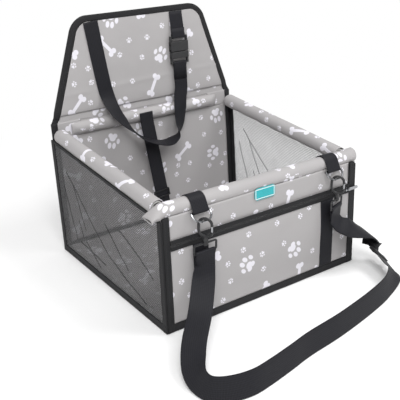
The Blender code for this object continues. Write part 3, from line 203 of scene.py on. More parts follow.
def facing(place, aim):
    """The matrix of a camera or a light at a place, turned towards its aim."""
    place, aim = Vector(place), Vector(aim)
    turn = (aim - place).to_track_quat("-Z", "Y").to_matrix().to_4x4()
    return Matrix.Translation(place) @ turn


def placed(name, data):
    obj = bpy.data.objects.new(name, data)
    bpy.context.scene.collection.objects.link(obj)
    return obj


def area_light(name, place, aim, size, power):
    light = bpy.data.lights.new(name, "AREA")
    light.shape = "DISK"
    light.size = size
    light.energy = power
    placed(name, light).matrix_world = facing(place, aim)


bpy.context.scene.view_settings.view_transform = "Standard"
camera = placed("camera", bpy.data.cameras.new("camera"))
camera.data.sensor_width = SENSOR_WIDTH
camera.data.lens = LENS
camera.matrix_world = facing(EYE, TARGET)
bpy.context.scene.camera = camera

area_light("key", (1.3, -0.9, 2.6), (0, 0, 0.1), size=1.3, power=30)
area_light("fill", (-1.2, -1.6, 2.6), (0, 0, 0.15), size=1.8, power=60)

world = bpy.data.worlds.new("studio")
bpy.context.scene.world = world
world.use_nodes = True
nodes, links = world.node_tree.nodes, world.node_tree.links
lighting = nodes["Background"]
seen = nodes.new("ShaderNodeBackground")
for node, strength in ((lighting, WORLD_LIGHT), (seen, WORLD_SEEN)):
    node.inputs["Color"].default_value = WHITE
    node.inputs["Strength"].default_value = strength
path_kind = nodes.new("ShaderNodeLightPath")
choose = nodes.new("ShaderNodeMixShader")
links.new(path_kind.outputs["Is Camera Ray"], choose.inputs[0])
links.new(lighting.outputs[0], choose.inputs[1])
links.new(seen.outputs[0], choose.inputs[2])
links.new(choose.outputs[0], nodes["World Output"].inputs["Surface"])


# Materials, all made of nodes. Cloth takes its pattern from its UVs, which are in metres.
class Graph:
    """A material's nodes, with short calls for the ones used here."""

    def __init__(self, name):
        self.material = bpy.data.materials.new(name)
        self.material.use_nodes = True
        self.tree = self.material.node_tree
        self.shader = self.tree.nodes["Principled BSDF"]

    def put(self, target, value):
        if isinstance(value, bpy.types.NodeSocket):
            self.tree.links.new(value, target)
        else:
            target.default_value = value

    def node(self, kind, values=None, **settings):
        """A new node with these settings, and with a value or a link on these inputs."""
        node = self.tree.nodes.new("ShaderNode" + kind)
        for name, setting in settings.items():
            setattr(node, name, setting)
        for socket, value in (values or {}).items():
            self.put(node.inputs[socket], value)
        return node

    def math(self, operation, a, b=0.0, clamp=False):
        return self.node("Math", {0: a, 1: b}, operation=operation, use_clamp=clamp).outputs[0]

    def add(self, a, b):
        return self.math("ADD", a, b)

    def sub(self, a, b):
        return self.math("SUBTRACT", a, b)

    def mul(self, a, b):
        return self.math("MULTIPLY", a, b)

    def vector(self, operation, a, b=(0, 0, 0), scale=None):
        second = {"Scale": scale} if operation == "SCALE" else {1: b}
        node = self.node("VectorMath", {0: a, **second}, operation=operation)
        return node.outputs["Value" if operation == "LENGTH" else "Vector"]

    def place(self, kind):
        return self.node("TexCoord").outputs[kind]

    def noise(self, place, scale, detail=3.0):
        return self.node("TexNoise", {"Vector": place, "Scale": scale, "Detail": detail}).outputs["Fac"]

    def split(self, place):
        return self.node("SeparateXYZ", {0: place}).outputs

    def mix(self, share, a, b):
        return self.node("Mix", {"Factor": share, "A": a, "B": b}, data_type="RGBA").outputs["Result"]

    def step(self, value, edge, soft):
        """1 below the edge and 0 above it, with a soft change between."""
        ends = {"From Min": edge - soft, "From Max": edge + soft, "To Min": 1.0, "To Max": 0.0}
        return self.node("MapRange", {"Value": value, **ends}, clamp=True).outputs[0]

    def waves(self, value, pitch):
        """A wave from 0 to 1 with this length."""
        turns = self.mul(value, 2 * math.pi / pitch)
        return self.add(self.mul(self.math("SINE", turns), 0.5), 0.5)

    def bump(self, height, strength, distance):
        node = self.node("Bump", {"Height": height, "Strength": strength, "Distance": distance})
        self.put(self.shader.inputs["Normal"], node.outputs["Normal"])

    def finish(self, colour, roughness, metallic=0.0):
        self.put(self.shader.inputs["Base Color"], colour)
        self.put(self.shader.inputs["Roughness"], roughness)
        self.shader.inputs["Metallic"].default_value = metallic
        return self.material


def distance(g, dx, dy):
    return g.math("SQRT", g.add(g.mul(dx, dx), g.mul(dy, dy)))


def blob(g, x, y, centre, radii):
    """1 at the rim of an ellipse, less inside it."""
    dx = g.math("DIVIDE", g.sub(x, centre[0]), radii[0])
    dy = g.math("DIVIDE", g.sub(y, centre[1]), radii[1])
    return distance(g, dx, dy)


def union(g, parts):
    """The least of several distances."""
    found = parts[0]
    for part in parts[1:]:
        found = g.math("MINIMUM", found, part)
    return found


def voronoi(g, place, scale, jitter, feature):
    values = {"Vector": place, "Scale": scale, "Randomness": jitter}
    return g.node("TexVoronoi", values, voronoi_dimensions="2D", feature=feature).outputs


def cells_at(g, place, pitch, jitter):
    """The scattered point nearest to a place: its position and distance in shares of the pitch."""
    return voronoi(g, g.vector("SCALE", place, scale=1 / pitch), 1.0, jitter, "F1")


# The prints, in shares of their size: ellipses of a paw (centre, radii), shaft and knobs of a bone
PAW = (
    ((0.0, -0.10), (0.20, 0.17)),
    ((-0.14, -0.24), (0.15, 0.13)),
    ((0.14, -0.24), (0.15, 0.13)),
    ((-0.38, 0.06), (0.105, 0.155)),
    ((-0.14, 0.32), (0.115, 0.175)),
    ((0.14, 0.32), (0.115, 0.175)),
    ((0.38, 0.06), (0.105, 0.155)),
)
SHAFT_HALF_WIDTH, SHAFT_HALF_LENGTH = 0.095, 0.46
KNOB_X, KNOB_Y, KNOB_RADII = 0.12, 0.50, (0.14, 0.15)
PRINT_EDGE = 0.06
BONE_SHARE = 0.5


def scatter(g, place, pitch, size, jitter, bones):
    """Paws, and bones in some cells, each at its own turn about a scattered point: 1 inside a print."""
    cells = cells_at(g, place, pitch, jitter)
    away = g.vector("SUBTRACT", place, g.vector("SCALE", cells["Position"], scale=pitch))
    x, y, _ = g.split(g.vector("SCALE", away, scale=1 / size))
    chance = g.split(cells["Color"])
    turn = g.mul(chance[0], 2 * math.pi)
    cos, sin = g.math("COSINE", turn), g.math("SINE", turn)
    u = g.add(g.mul(x, cos), g.mul(y, sin))
    v = g.sub(g.mul(y, cos), g.mul(x, sin))
    paw = union(g, [blob(g, u, v, centre, radii) for centre, radii in PAW])
    mark = g.step(paw, 1.0, PRINT_EDGE)
    if bones:
        narrow = g.math("DIVIDE", g.math("ABSOLUTE", u), SHAFT_HALF_WIDTH)
        short = g.math("DIVIDE", g.math("ABSOLUTE", v), SHAFT_HALF_LENGTH)
        shaft = g.math("MAXIMUM", narrow, short)
        knobs = []
        for side in (-1, 1):
            knobs += [blob(g, u, v, (side * KNOB_X, end * KNOB_Y), KNOB_RADII) for end in (-1, 1)]
        bone = g.step(union(g, [shaft, *knobs]), 1.0, PRINT_EDGE)
        pick = g.math("GREATER_THAN", chance[1], BONE_SHARE)
        other = g.mul(mark, g.sub(1.0, pick))
        mark = g.add(g.mul(bone, pick), other)
    return mark, g.vector("SCALE", cells["Position"], scale=pitch)


# Large and small prints: pitch and size in metres, and how far they stray from an even grid
LARGE = (0.084, 0.035, 0.50)
SMALL = (0.040, 0.0118, 0.62)
SMALL_SHIFT = (0.013, 0.021, 0.0)
CLEAR_SHARE = 0.33
CLOTH_DARK, CLOTH_LIGHT = (0.385, 0.372, 0.374, 1), (0.500, 0.485, 0.488, 1)
INK = (0.78, 0.765, 0.82, 1)
WEAVE_PITCH = 0.0011


def printed_cloth(name):
    """Woven grey cloth with pale prints. A small print keeps clear of the large ones."""
    g = Graph(name)
    place = g.place("UV")
    large, _ = scatter(g, place, *LARGE, True)
    small, centre = scatter(g, g.vector("ADD", place, SMALL_SHIFT), *SMALL, False)
    nearest = cells_at(g, g.vector("SUBTRACT", centre, SMALL_SHIFT), LARGE[0], LARGE[2])["Distance"]
    clear = g.math("GREATER_THAN", nearest, CLEAR_SHARE)
    mark = g.math("MAXIMUM", large, g.mul(small, clear), clamp=True)
    x, y, _ = g.split(place)
    weave = g.mul(g.waves(x, WEAVE_PITCH), g.waves(y, WEAVE_PITCH))
    shade = g.mul(g.noise(place, 14.0), 0.16)
    tone = g.math("ADD", g.mul(weave, 0.35), shade, clamp=True)
    colour = g.mix(mark, g.mix(tone, CLOTH_DARK, CLOTH_LIGHT), INK)
    grain = g.noise(place, 240.0, detail=2.0)
    g.bump(g.add(g.mul(weave, 0.5), grain), strength=0.25, distance=0.0004)
    return g.finish(colour, roughness=0.72)


WEB_RIB_PITCH, WEB_ROW_PITCH = 0.0021, 0.0031


def webbing():
    g = Graph("scene_webbing")
    x, y, _ = g.split(g.place("UV"))
    ribs = g.waves(y, WEB_RIB_PITCH)
    rows = g.waves(x, WEB_ROW_PITCH)
    tone = g.math("ADD", g.mul(ribs, 0.5), g.mul(rows, 0.3), clamp=True)
    colour = g.mix(tone, (0.011, 0.011, 0.013, 1), (0.024, 0.024, 0.030, 1))
    g.bump(tone, strength=0.5, distance=0.0004)
    g.shader.inputs["Specular IOR Level"].default_value = 0.16
    return g.finish(colour, roughness=0.52)


TWILL_PITCH = 0.0016
STITCH_X, STITCH_PITCH = 0.0016, 0.0042


def binding_cloth():
    """Black twill tape with a row of stitches."""
    g = Graph("scene_binding")
    x, y, _ = g.split(g.place("UV"))
    twill = g.waves(g.add(x, y), TWILL_PITCH)
    row = g.step(g.math("ABSOLUTE", g.sub(x, STITCH_X)), 0.0004, 0.0002)
    stitch = g.mul(row, g.math("GREATER_THAN", g.waves(y, STITCH_PITCH), 0.4))
    tone = g.math("MAXIMUM", g.mul(twill, 0.4), stitch, clamp=True)
    colour = g.mix(tone, (0.010, 0.010, 0.011, 1), (0.030, 0.030, 0.033, 1))
    g.shader.inputs["Specular IOR Level"].default_value = 0.3
    g.bump(g.add(twill, g.mul(stitch, 0.8)), strength=0.4, distance=0.0003)
    return g.finish(colour, roughness=0.68)


# The net: pitch and strand of its cells, and its fold lines in (y, z), drawn dark as painted crease shade over the
# doubled net
NET_PITCH = 0.0032
NET_INNER_SHIFT = 3.0
NET_STRAND = 0.150
NET_FOLD_SHADE_LINES = (
    ((0.148, 0.172), (0.049, 0.092)),
    ((0.049, 0.092), (0.005, 0.061)),
    ((0.005, 0.061), (-0.118, 0.025)),
    ((-0.036, 0.126), (-0.104, 0.104)),
    ((-0.104, 0.104), (-0.141, 0.082)),
    ((0.107, 0.046), (0.015, 0.038)),
    ((0.160, 0.140), (0.121, 0.045)),
    ((0.127, 0.154), (0.085, 0.079)),
    ((0.085, 0.055), (0.035, 0.024)),
    ((0.012, 0.120), (-0.060, 0.062)),
    ((0.110, 0.088), (0.096, 0.062)),
)
FOLD_SHADE_HALF_WIDTH = 0.0017
NET_JITTER = 0.12


def near_line(g, x, y, start, end):
    """How far a place lies from a line between two points, in half widths of a fold."""
    run = Vector(end) - Vector(start)
    over_x = g.mul(g.sub(x, start[0]), run.x)
    over_y = g.mul(g.sub(y, start[1]), run.y)
    along = g.math("DIVIDE", g.add(over_x, over_y), run.length_squared)
    along = g.math("MINIMUM", g.math("MAXIMUM", along, 0.0), 1.0)
    dx = g.sub(x, g.add(g.mul(along, run.x), start[0]))
    dy = g.sub(y, g.add(g.mul(along, run.y), start[1]))
    return g.math("DIVIDE", distance(g, dx, dy), FOLD_SHADE_HALF_WIDTH)


def net_cloth():
    """Open cells between strands. Black outside; the inner face is painted pale, painted light on the strands seen
    from inside. Along the folds the net is doubled and painted dark, partly painted crease shade.

    The inner face's UVs lie NET_INNER_SHIFT further along.
    """
    g = Graph("scene_net")
    place = g.place("UV")
    inner = g.math("GREATER_THAN", g.split(place)[0], NET_INNER_SHIFT / 2)
    place = g.vector("SUBTRACT", place, g.vector("SCALE", (NET_INNER_SHIFT, 0.0, 0.0), scale=inner))
    x, y, _ = g.split(place)
    cells = voronoi(g, place, 1 / NET_PITCH, NET_JITTER, "DISTANCE_TO_EDGE")
    folds = union(g, [near_line(g, x, y, start, end) for start, end in NET_FOLD_SHADE_LINES])
    # Painted crease shade: along the folds the net is drawn nearly opaque and dark, partly the doubled net and partly
    # shade in its creases
    fold = g.mul(g.step(folds, 1.0, 0.5), g.sub(1.0, inner))
    strand = g.step(cells["Distance"], NET_STRAND, 0.04)
    strand = g.math("MAXIMUM", strand, g.mul(fold, 0.85))
    cloudy = g.noise(place, 22.0)
    outside = g.mix(cloudy, (0.006, 0.006, 0.007, 1), (0.030, 0.029, 0.032, 1))
    outside = g.mix(fold, outside, (0.012, 0.012, 0.013, 1))
    # Painted light: the inner face of the black net is painted pale, for the light on its strands seen from inside
    inside = g.mix(cloudy, (0.52, 0.52, 0.53, 1), (0.70, 0.70, 0.71, 1))
    g.put(g.shader.inputs["Alpha"], strand)
    g.material.surface_render_method = "DITHERED"
    return g.finish(g.mix(inner, outside, inside), roughness=0.6)


def solid_finish(name, low, high, rough, metallic, scale, strength):
    """A clouded plain finish, between two tones and two roughnesses."""
    g = Graph(name)
    place = g.place("Object")
    cloudy = g.noise(place, scale)
    roughness = g.add(g.mul(cloudy, rough[1] - rough[0]), rough[0])
    g.bump(g.noise(place, scale * 4, detail=2.0), strength, distance=0.0002)
    return g.finish(g.mix(cloudy, low, high), roughness, metallic)


# The tag's teal field and its white border, as half sizes in x and y
TAG_FIELD, TAG_BORDER = (0.0192, 0.0074), (0.0205, 0.0087)
TAG_THREAD_PITCH = 0.0009
TAG_SOFT = 0.0003


def tag_cloth():
    """Plain teal weave with a white border: the cloth has no word on it."""
    g = Graph("scene_tag")
    x, y, _ = g.split(g.place("UV"))
    dx, dy = g.math("ABSOLUTE", x), g.math("ABSOLUTE", y)
    inside, rim = (
        g.mul(g.step(dx, half[0], TAG_SOFT), g.step(dy, half[1], TAG_SOFT))
        for half in (TAG_FIELD, TAG_BORDER)
    )
    threads = g.waves(y, TAG_THREAD_PITCH)
    teal = g.mix(threads, (0.02, 0.36, 0.40, 1), (0.04, 0.50, 0.54, 1))
    colour = g.mix(inside, g.mix(rim, teal, (0.82, 0.86, 0.86, 1)), teal)
    g.bump(threads, strength=0.4, distance=0.0003)
    return g.finish(colour, roughness=0.55)


# One finish for each of the record's slots
FINISHES = {
    "printed_fabric": printed_cloth("scene_printed_cloth"),
    "lining": printed_cloth("scene_lining"),
    "webbing": webbing(),
    "binding": binding_cloth(),
    "net": net_cloth(),
    "black_plastic": solid_finish(
        "scene_plastic", (0.013, 0.013, 0.014, 1), (0.028, 0.028, 0.030, 1),
        rough=(0.32, 0.46), metallic=0.0, scale=260.0, strength=0.12),
    "plated_steel": solid_finish(
        "scene_steel", (0.26, 0.265, 0.28, 1), (0.44, 0.445, 0.46, 1),
        rough=(0.08, 0.20), metallic=1.0, scale=180.0, strength=0.05),
    "tube_plastic": solid_finish(
        "scene_tube", (0.70, 0.70, 0.68, 1), (0.80, 0.80, 0.78, 1),
        rough=(0.35, 0.50), metallic=0.0, scale=90.0, strength=0.06),
    "board": solid_finish(
        "scene_board", (0.20, 0.20, 0.20, 1), (0.30, 0.30, 0.30, 1),
        rough=(0.5, 0.7), metallic=0.0, scale=60.0, strength=0.10),
    "tag": tag_cloth(),
}
for part in frame["record"]["subparts"]:
    for holder in frame["nodes"][part["node"]].material_slots:
        holder.material = FINISHES[part["material_slot"]]


# Sizes shared with the CAD. On a leaning wall x runs across, s up the wall and o forward out of it.
FRONT_LEAN, BACK_LEAN = math.radians(3.5), math.radians(5.5)
HALF_DEPTH = 0.18
PANEL_HALF = 0.2072
INNER_HALF = 0.1949
PANEL_LOW, PANEL_TOP = 0.0148, 0.1986
BINDING = 0.012
BINDING_X = PANEL_HALF - BINDING / 2
RIM_RADIUS = 0.013
RIM_X = 0.197
FRONT_RIM_Y, FRONT_RIM_Z = -0.155, 0.205
REAR_RIM_Y, REAR_RIM_Z = 0.19788, 0.230
RIM_SLOPE = (REAR_RIM_Z - FRONT_RIM_Z) / (REAR_RIM_Y - FRONT_RIM_Y)
WALL_MID = 0.0042
BAND_HEIGHT = 0.234
WEBBING = 0.030
WEB_THICK = 0.0015
GAP = 0.0003
SIDES = (("left", -1), ("right", 1))
ACROSS = Vector((1, 0, 0))


def on_wall(foot, lean):
    """The call that puts (x, s, o) on a wall with this foot and lean."""
    sin, cos = math.sin(lean), math.cos(lean)

    def place(x, s, o):
        return (x, foot + s * sin - o * cos, s * cos + o * sin)

    return place


on_front, on_back = on_wall(-HALF_DEPTH, FRONT_LEAN), on_wall(HALF_DEPTH, BACK_LEAN)


def ripple(x, y, seed, pitch):
    """Smooth noise about zero, with waves of about this pitch."""
    return noise.noise(Vector((x / pitch, y / pitch, seed * 7.31)))


def rippled(base, height, seed, pitch):
    """A swell of ripples alone, about a base."""

    def swell(x, s, u, v):
        return base + height * ripple(x, s, seed, pitch)

    return swell


def dress(name, points, faces, uvs, slot, body, nodes):
    """A mesh in its slot's finish, that rides on a body, if any, and stands for these nodes."""
    mesh = bpy.data.meshes.new(name)
    mesh.from_pydata([tuple(map(float, p)) for p in points], [], faces)
    layer = mesh.uv_layers.new(name="UVMap")
    for loop in mesh.loops:
        layer.data[loop.index].uv = uvs[loop.vertex_index]
    for face in mesh.polygons:
        face.use_smooth = True
    mesh.materials.append(FINISHES[slot])
    obj = placed(name, mesh)
    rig.slot(obj, slot)
    if body:
        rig.ride(obj, body)
    if nodes:
        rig.replaces(obj, *nodes)
    return obj


def slab(name, grid, uv, thickness, slot, body, nodes, shifts=(0.0, 0.0)):
    """A closed cloth of this thickness about a grid of points. The shifts move its faces' UVs."""
    rows, wide = grid.shape[:2]
    count = rows * wide
    normal = np.cross(np.gradient(grid, axis=0), np.gradient(grid, axis=1))
    normal /= np.maximum(np.linalg.norm(normal, axis=2, keepdims=True), 1e-12)
    upper, lower = grid + normal * (thickness / 2), grid - normal * (thickness / 2)
    points = [*upper.reshape(-1, 3), *lower.reshape(-1, 3)]
    uvs = [(float(u + shift), float(v)) for shift in shifts for u, v in uv.reshape(-1, 2)]
    faces = []
    for a in range(rows - 1):
        for b in range(wide - 1):
            k = a * wide + b
            faces.append((k, k + wide, k + wide + 1, k + 1))
            faces.append((count + k, count + k + 1, count + k + wide + 1, count + k + wide))
    ring = list(range(wide))
    ring += [a * wide + wide - 1 for a in range(1, rows)]
    ring += [(rows - 1) * wide + b for b in range(wide - 2, -1, -1)]
    ring += [a * wide for a in range(rows - 2, 0, -1)]
    for a, b in zip(ring, ring[1:] + ring[:1]):
        faces.append((a, b, count + b, count + a))
    return dress(name, points, faces, uvs, slot, body, nodes)


def oblong(left, right, low, high):
    return [(left, low), (right, low), (right, high), (left, high)]


def grid_of(size, u_from, v_from, point):
    """A grid of points and its UVs. point(u, v) gives both, and u and v run up to 1."""
    rows, wide = size
    grid, uv = np.zeros((rows, wide, 3)), np.zeros((rows, wide, 2))
    for i, v in enumerate(np.linspace(v_from, 1, rows)):
        for j, u in enumerate(np.linspace(u_from, 1, wide)):
            grid[i, j], uv[i, j] = point(u, v)
    return grid, uv


def panel(name, place, corners, size, thickness, swell, nodes=(), slot="printed_fabric", body="basket",
          origin=(0, 0), shifts=(0.0, 0.0)):
    """A cloth between four corners in (x, s). Its swell gives the o for place(x, s, o)."""
    a, b, c, d = (np.array(p, float) for p in corners)

    def point(u, v):
        x, s = (a * (1 - u) + b * u) * (1 - v) + (d * (1 - u) + c * u) * v
        return place(x, s, swell(x, s, u, v)), (x + origin[0], s + origin[1])

    return slab(name, *grid_of(size, 0, 0, point), thickness, slot, body, nodes, shifts)


def run_along(line):
    """How far along a line each of its points lies."""
    return np.concatenate([[0], np.cumsum(np.linalg.norm(np.diff(line, axis=0), axis=1))])


def spaced(line, count):
    """This many even steps along a line."""
    line = np.array(line, float)
    run = run_along(line)
    places = np.linspace(0, run[-1], count)
    return np.column_stack([np.interp(places, run, column) for column in line.T])


SPAN_STEPS = 24


def smooth_route(points, count):
    """Evenly spaced points of a smooth curve through these points."""
    points = [np.array(p, float) for p in points]
    ends = [2 * points[0] - points[1], *points, 2 * points[-1] - points[-2]]
    fine = []
    for a, b, c, d in zip(ends, ends[1:], ends[2:], ends[3:]):
        for t in np.linspace(0, 1, SPAN_STEPS, endpoint=False):
            square = (2 * a - 5 * b + 4 * c - d) * t**2
            cube = (3 * b - a - 3 * c + d) * t**3
            fine.append(0.5 * (2 * b + (c - a) * t + square + cube))
    return spaced([*fine, points[-1]], count)


def stations_of(keys, route):
    """Where each point of a route lies between the keys that it was laid through."""
    keys = np.array([tuple(k) for k in keys], float)
    found, low = [], 0
    for point in route:
        gaps = []
        for i in range(low, min(low + 3, len(keys) - 1)):
            a, b = keys[i], keys[i + 1]
            t = min(max(np.dot(point - a, b - a) / np.dot(b - a, b - a), 0.0), 1.0)
            gaps.append((np.linalg.norm(a + (b - a) * t - point), i + t))
        best = min(gaps)[1]
        low = int(min(best, len(keys) - 2))
        found.append(best)
    return np.maximum.accumulate(found)


# One face of a webbing's section, in shares of half its width and half its thickness
WEB_FACE = [(-1.0, 0.0), (-0.985, 0.8), (-0.93, 1.0), (-0.5, 1.0), (0.0, 1.0),
            (0.5, 1.0), (0.93, 1.0), (0.985, 0.8), (1.0, 0.0)]
WEB_SECTION = WEB_FACE + [(w, -h) for w, h in WEB_FACE[-2:0:-1]]


def strap(name, centres, nodes, across=None, width=WEBBING, thickness=WEB_THICK, slot="webbing",
          body="basket"):
    """Webbing along its centre line. Its direction across is x, or else one for each point."""
    centres = np.array(centres, float)
    across = np.array([tuple(a) for a in across or [ACROSS] * len(centres)], float)
    thickness = np.broadcast_to(np.array(thickness, float), len(centres))
    along = np.gradient(centres, axis=0)
    along /= np.linalg.norm(along, axis=1, keepdims=True)
    side = across - along * np.sum(across * along, axis=1, keepdims=True)
    side /= np.linalg.norm(side, axis=1, keepdims=True)
    face = np.cross(along, side)
    run = run_along(centres)
    points, uvs, faces = [], [], []
    for k in range(len(centres)):
        for w, h in WEB_SECTION:
            off = side[k] * (w * width / 2) + face[k] * (h * thickness[k] / 2)
            points.append(centres[k] + off)
            uvs.append((w * width / 2, run[k]))
    n = len(WEB_SECTION)
    for k in range(len(centres) - 1):
        for m in range(n):
            after = (m + 1) % n
            faces.append((k * n + m, k * n + after, (k + 1) * n + after, (k + 1) * n + m))
    faces.append(tuple(range(n - 1, -1, -1)))
    faces.append(tuple((len(centres) - 1) * n + m for m in range(n)))
    return dress(name, points, faces, uvs, slot, body, nodes)


def tape_strip(name, place, path, width, thickness, o, steps, wave, nodes=(), body="basket"):
    """Flat binding along a path of (x, s) points of a wall."""
    pts = spaced(path, steps)
    centres, across = [], []
    for k, (x, s) in enumerate(pts):
        after, before = pts[min(k + 1, len(pts) - 1)], pts[max(k - 1, 0)]
        dx, ds = after[0] - before[0], after[1] - before[1]
        n = math.hypot(dx, ds)
        centres.append(place(x, s, o + wave * ripple(x, s, 5, 0.02)))
        ahead, base = place(x - ds / n, s + dx / n, o), place(x, s, o)
        across.append(tuple(ahead[i] - base[i] for i in range(3)))
    return strap(name, centres, nodes, across, width, thickness, "binding", body)


SLEEVE_CLOTH = 0.0011
LEAST_RADIUS = 0.0002


def sleeve(name, centre, radius, size, squeeze, nodes, origin):
    """A printed cloth tube with an inner face.

    centre(t) gives a point of its axis and two directions, squeeze(t, a) its shares of the radius.
    """
    count, around = size
    points, uvs, faces = [], [], []
    for thin in (0.0, SLEEVE_CLOTH):
        length, before = origin, None
        for i in range(count):
            t = i / (count - 1)
            middle, first, second = map(Vector, centre(t))
            length += (middle - before).length if before is not None else 0.0
            before = middle
            for k in range(around + 1):
                a = 2 * math.pi * k / around
                wide, high = squeeze(t, a)
                across = first * (max(radius * wide - thin, LEAST_RADIUS) * math.cos(a))
                up = second * (max(radius * high - thin, LEAST_RADIUS) * math.sin(a))
                points.append(middle + across + up)
                uvs.append((length, radius * a))
    step = around + 1
    layer = count * step
    for i in range(count - 1):
        for k in range(around):
            one = (i * step + k, i * step + k + 1, (i + 1) * step + k + 1, (i + 1) * step + k)
            faces.append(one[::-1])
            faces.append(tuple(layer + p for p in one))
    last = (count - 1) * step
    for k in range(around):
        faces.append((k, k + 1, layer + k + 1, layer + k))
        faces.append((last + k + 1, last + k, layer + last + k, layer + last + k + 1))
    return dress(name, points, faces, uvs, "printed_fabric", "basket", nodes)


# Binding along a wall's foot and up both its edges
FOOT_S, FOOT_WIDTH = 0.0078, 0.0138
EDGE_LOW, EDGE_WIDTH, EDGE_STEPS = 0.0012, 0.0122, 70


def bind_wall(wall, place, top, foot, edge, steps, wave):
    """foot and edge are each a thickness and a distance out of the wall's plane."""
    path = [(-PANEL_HALF, FOOT_S), (PANEL_HALF, FOOT_S)]
    tape_strip(f"{wall}_binding_bottom", place, path, FOOT_WIDTH, *foot, steps, wave, [f"{wall}_binding"])
    for side, sign in SIDES:
        path = [(sign * BINDING_X, EDGE_LOW), (sign * BINDING_X, top)]
        tape_strip(f"{wall}_binding_{side}", place, path, EDGE_WIDTH, *edge, EDGE_STEPS, wave)


# Front: panel, pocket, zip, bindings, pocket webbing and tag
POCKET_TOP, POCKET_SPAN = 0.1454, 0.130
ZIP_TAPES = (("upper", 0.1525, 0.1598), ("lower", 0.1424, 0.1497))
ZIP_COILS = (("upper", 0.1524), ("lower", 0.1498))
COIL_LEFT, COIL_RIGHT, COIL_HALF, COIL_PITCH = -0.1940, 0.1790, 0.0009, 0.0017
POCKET_STRAP_X, POCKET_STRAP_OUT = 0.139, 0.0016


def front_swell(x, s, u, v):
    hollow = 0.0014 * math.sin(math.pi * u) * math.sin(math.pi * v)
    return -0.0008 - hollow + 0.0006 * ripple(x, s, 1, 0.05)


def pocket_out(x, s, u):
    """How far the filled pocket stands out, at a share u of its width."""
    v = (s - PANEL_LOW) / POCKET_SPAN
    across, up = (math.sin(math.pi * min(max(share, 0), 1)) for share in (u, v))
    edge = max(0.0, across * up) ** 0.7
    crease = math.exp(-((x * 0.5 + s - 0.03) / 0.010) ** 2) - math.exp(-((x * 0.3 - s + 0.10) / 0.014) ** 2)
    return 0.0012 + edge * (0.0028 + 0.0016 * ripple(x, s, 2, 0.060) + 0.0006 * crease)


def coil_swell(x, s, u, v):
    return 0.0030 + 0.00035 * math.sin(2 * math.pi * x / COIL_PITCH)


panel("front_panel_cloth", on_front, oblong(-INNER_HALF, INNER_HALF, PANEL_LOW, PANEL_TOP),
      (50, 90), 0.0012, front_swell, ["front_panel"], origin=(0.222, 0.115))
panel("pocket_cloth", on_front, oblong(-INNER_HALF, INNER_HALF, PANEL_LOW, POCKET_TOP),
      (60, 140), 0.0013, lambda x, s, u, v: pocket_out(x, s, u), ["pocket_panel"], origin=(0.051, 0.017))
for name, low, high in ZIP_TAPES:
    panel(f"zip_cloth_{name}", on_front, oblong(-INNER_HALF, INNER_HALF, low, high),
          (7, 90), 0.0010, rippled(0.0029, 0.0003, 3, 0.03), [f"zip_tape_{name}"], "binding")
for name, s in ZIP_COILS:
    panel(f"zip_teeth_{name}", on_front, oblong(COIL_LEFT, COIL_RIGHT, s - COIL_HALF, s + COIL_HALF),
          (4, 900), 0.0009, coil_swell, slot="black_plastic")
bind_wall("front", on_front, 0.1985, foot=(0.0040, 0.0006), edge=(0.0043, 0.0007), steps=120, wave=0.0004)

for side, sign in SIDES:
    x = sign * POCKET_STRAP_X
    u = (x + INNER_HALF) / (2 * INNER_HALF)
    heights = np.linspace(0.0150, 0.1420, 50)
    pts = [on_front(x, s, pocket_out(x, s, u) + POCKET_STRAP_OUT) for s in heights]
    strap(f"pocket_webbing_{side}", pts, [f"pocket_strap_{side}"])

# The tag's centre, half size, and the half lengths of its edges between the rounded corners
TAG_X, TAG_S = -0.0035, 0.1917
TAG_HALF = (0.022, 0.01025)
TAG_STRAIGHT = (0.016, 0.00425)


def tag_point(u, v):
    x, s = u * TAG_HALF[0], v * TAG_HALF[1]
    over_x, over_s = abs(x) - TAG_STRAIGHT[0], abs(s) - TAG_STRAIGHT[1]
    if over_x > 0 and over_s > 0:
        far = math.hypot(over_x, over_s)
        reach = max(over_x, over_s)
        x = math.copysign(TAG_STRAIGHT[0] + over_x * reach / far, x)
        s = math.copysign(TAG_STRAIGHT[1] + over_s * reach / far, s)
    return on_front(x + TAG_X, TAG_S + s, 0.0010 + 0.0002 * ripple(x, s, 6, 0.02)), (x, s)


slab("tag_cloth", *grid_of((24, 48), -1, -1, tag_point), 0.0009, "tag", "basket", ["label_tag"])

# Back wall with its two upper corners, bindings, and the sewn band with its seam
WALL_TOP = 0.2212
WALL_PRINT, BAND_PRINT = (0.02, 0.23), (0.31, 0.0)
CORNER_X, CORNER_LOW, CORNER_TOP = 0.1485, 0.2205, 0.2503
BAND_END, BAND_TAPER, BAND_RADIUS = 0.168, 0.020, 0.0122
FIN_BOX = (-0.148, 0.148, 0.2455, 0.2527)


def wall_swell(x, s, u, v):
    crown = 0.0010 * math.sin(math.pi * u) * math.sin(math.pi * v)
    return WALL_MID + crown + 0.0013 * ripple(x, s, 8, 0.07) + 0.0004 * ripple(x, s, 10, 0.025)


panel("back_wall_cloth", on_back, oblong(-INNER_HALF, INNER_HALF, PANEL_LOW, WALL_TOP),
      (60, 90), 0.0030, wall_swell, ["back_wall"], origin=WALL_PRINT)
for side, sign in SIDES:
    corners = oblong(sign * CORNER_X, sign * INNER_HALF, CORNER_LOW, CORNER_TOP)
    panel(f"back_wall_corner_{side}", on_back, corners, (12, 16), 0.0028,
          rippled(WALL_MID, 0.0003, 9, 0.03), origin=WALL_PRINT)
bind_wall("back", on_back, 0.2502, foot=(0.0042, WALL_MID), edge=(0.0036, WALL_MID), steps=100, wave=0.0002)


def band_place(t):
    """The x at a share of the band's length, and how far into its tapered end that is."""
    x = BAND_END * (2 * t - 1)
    return x, max(0.0, (abs(x) - BAND_END + BAND_TAPER) / BAND_TAPER)


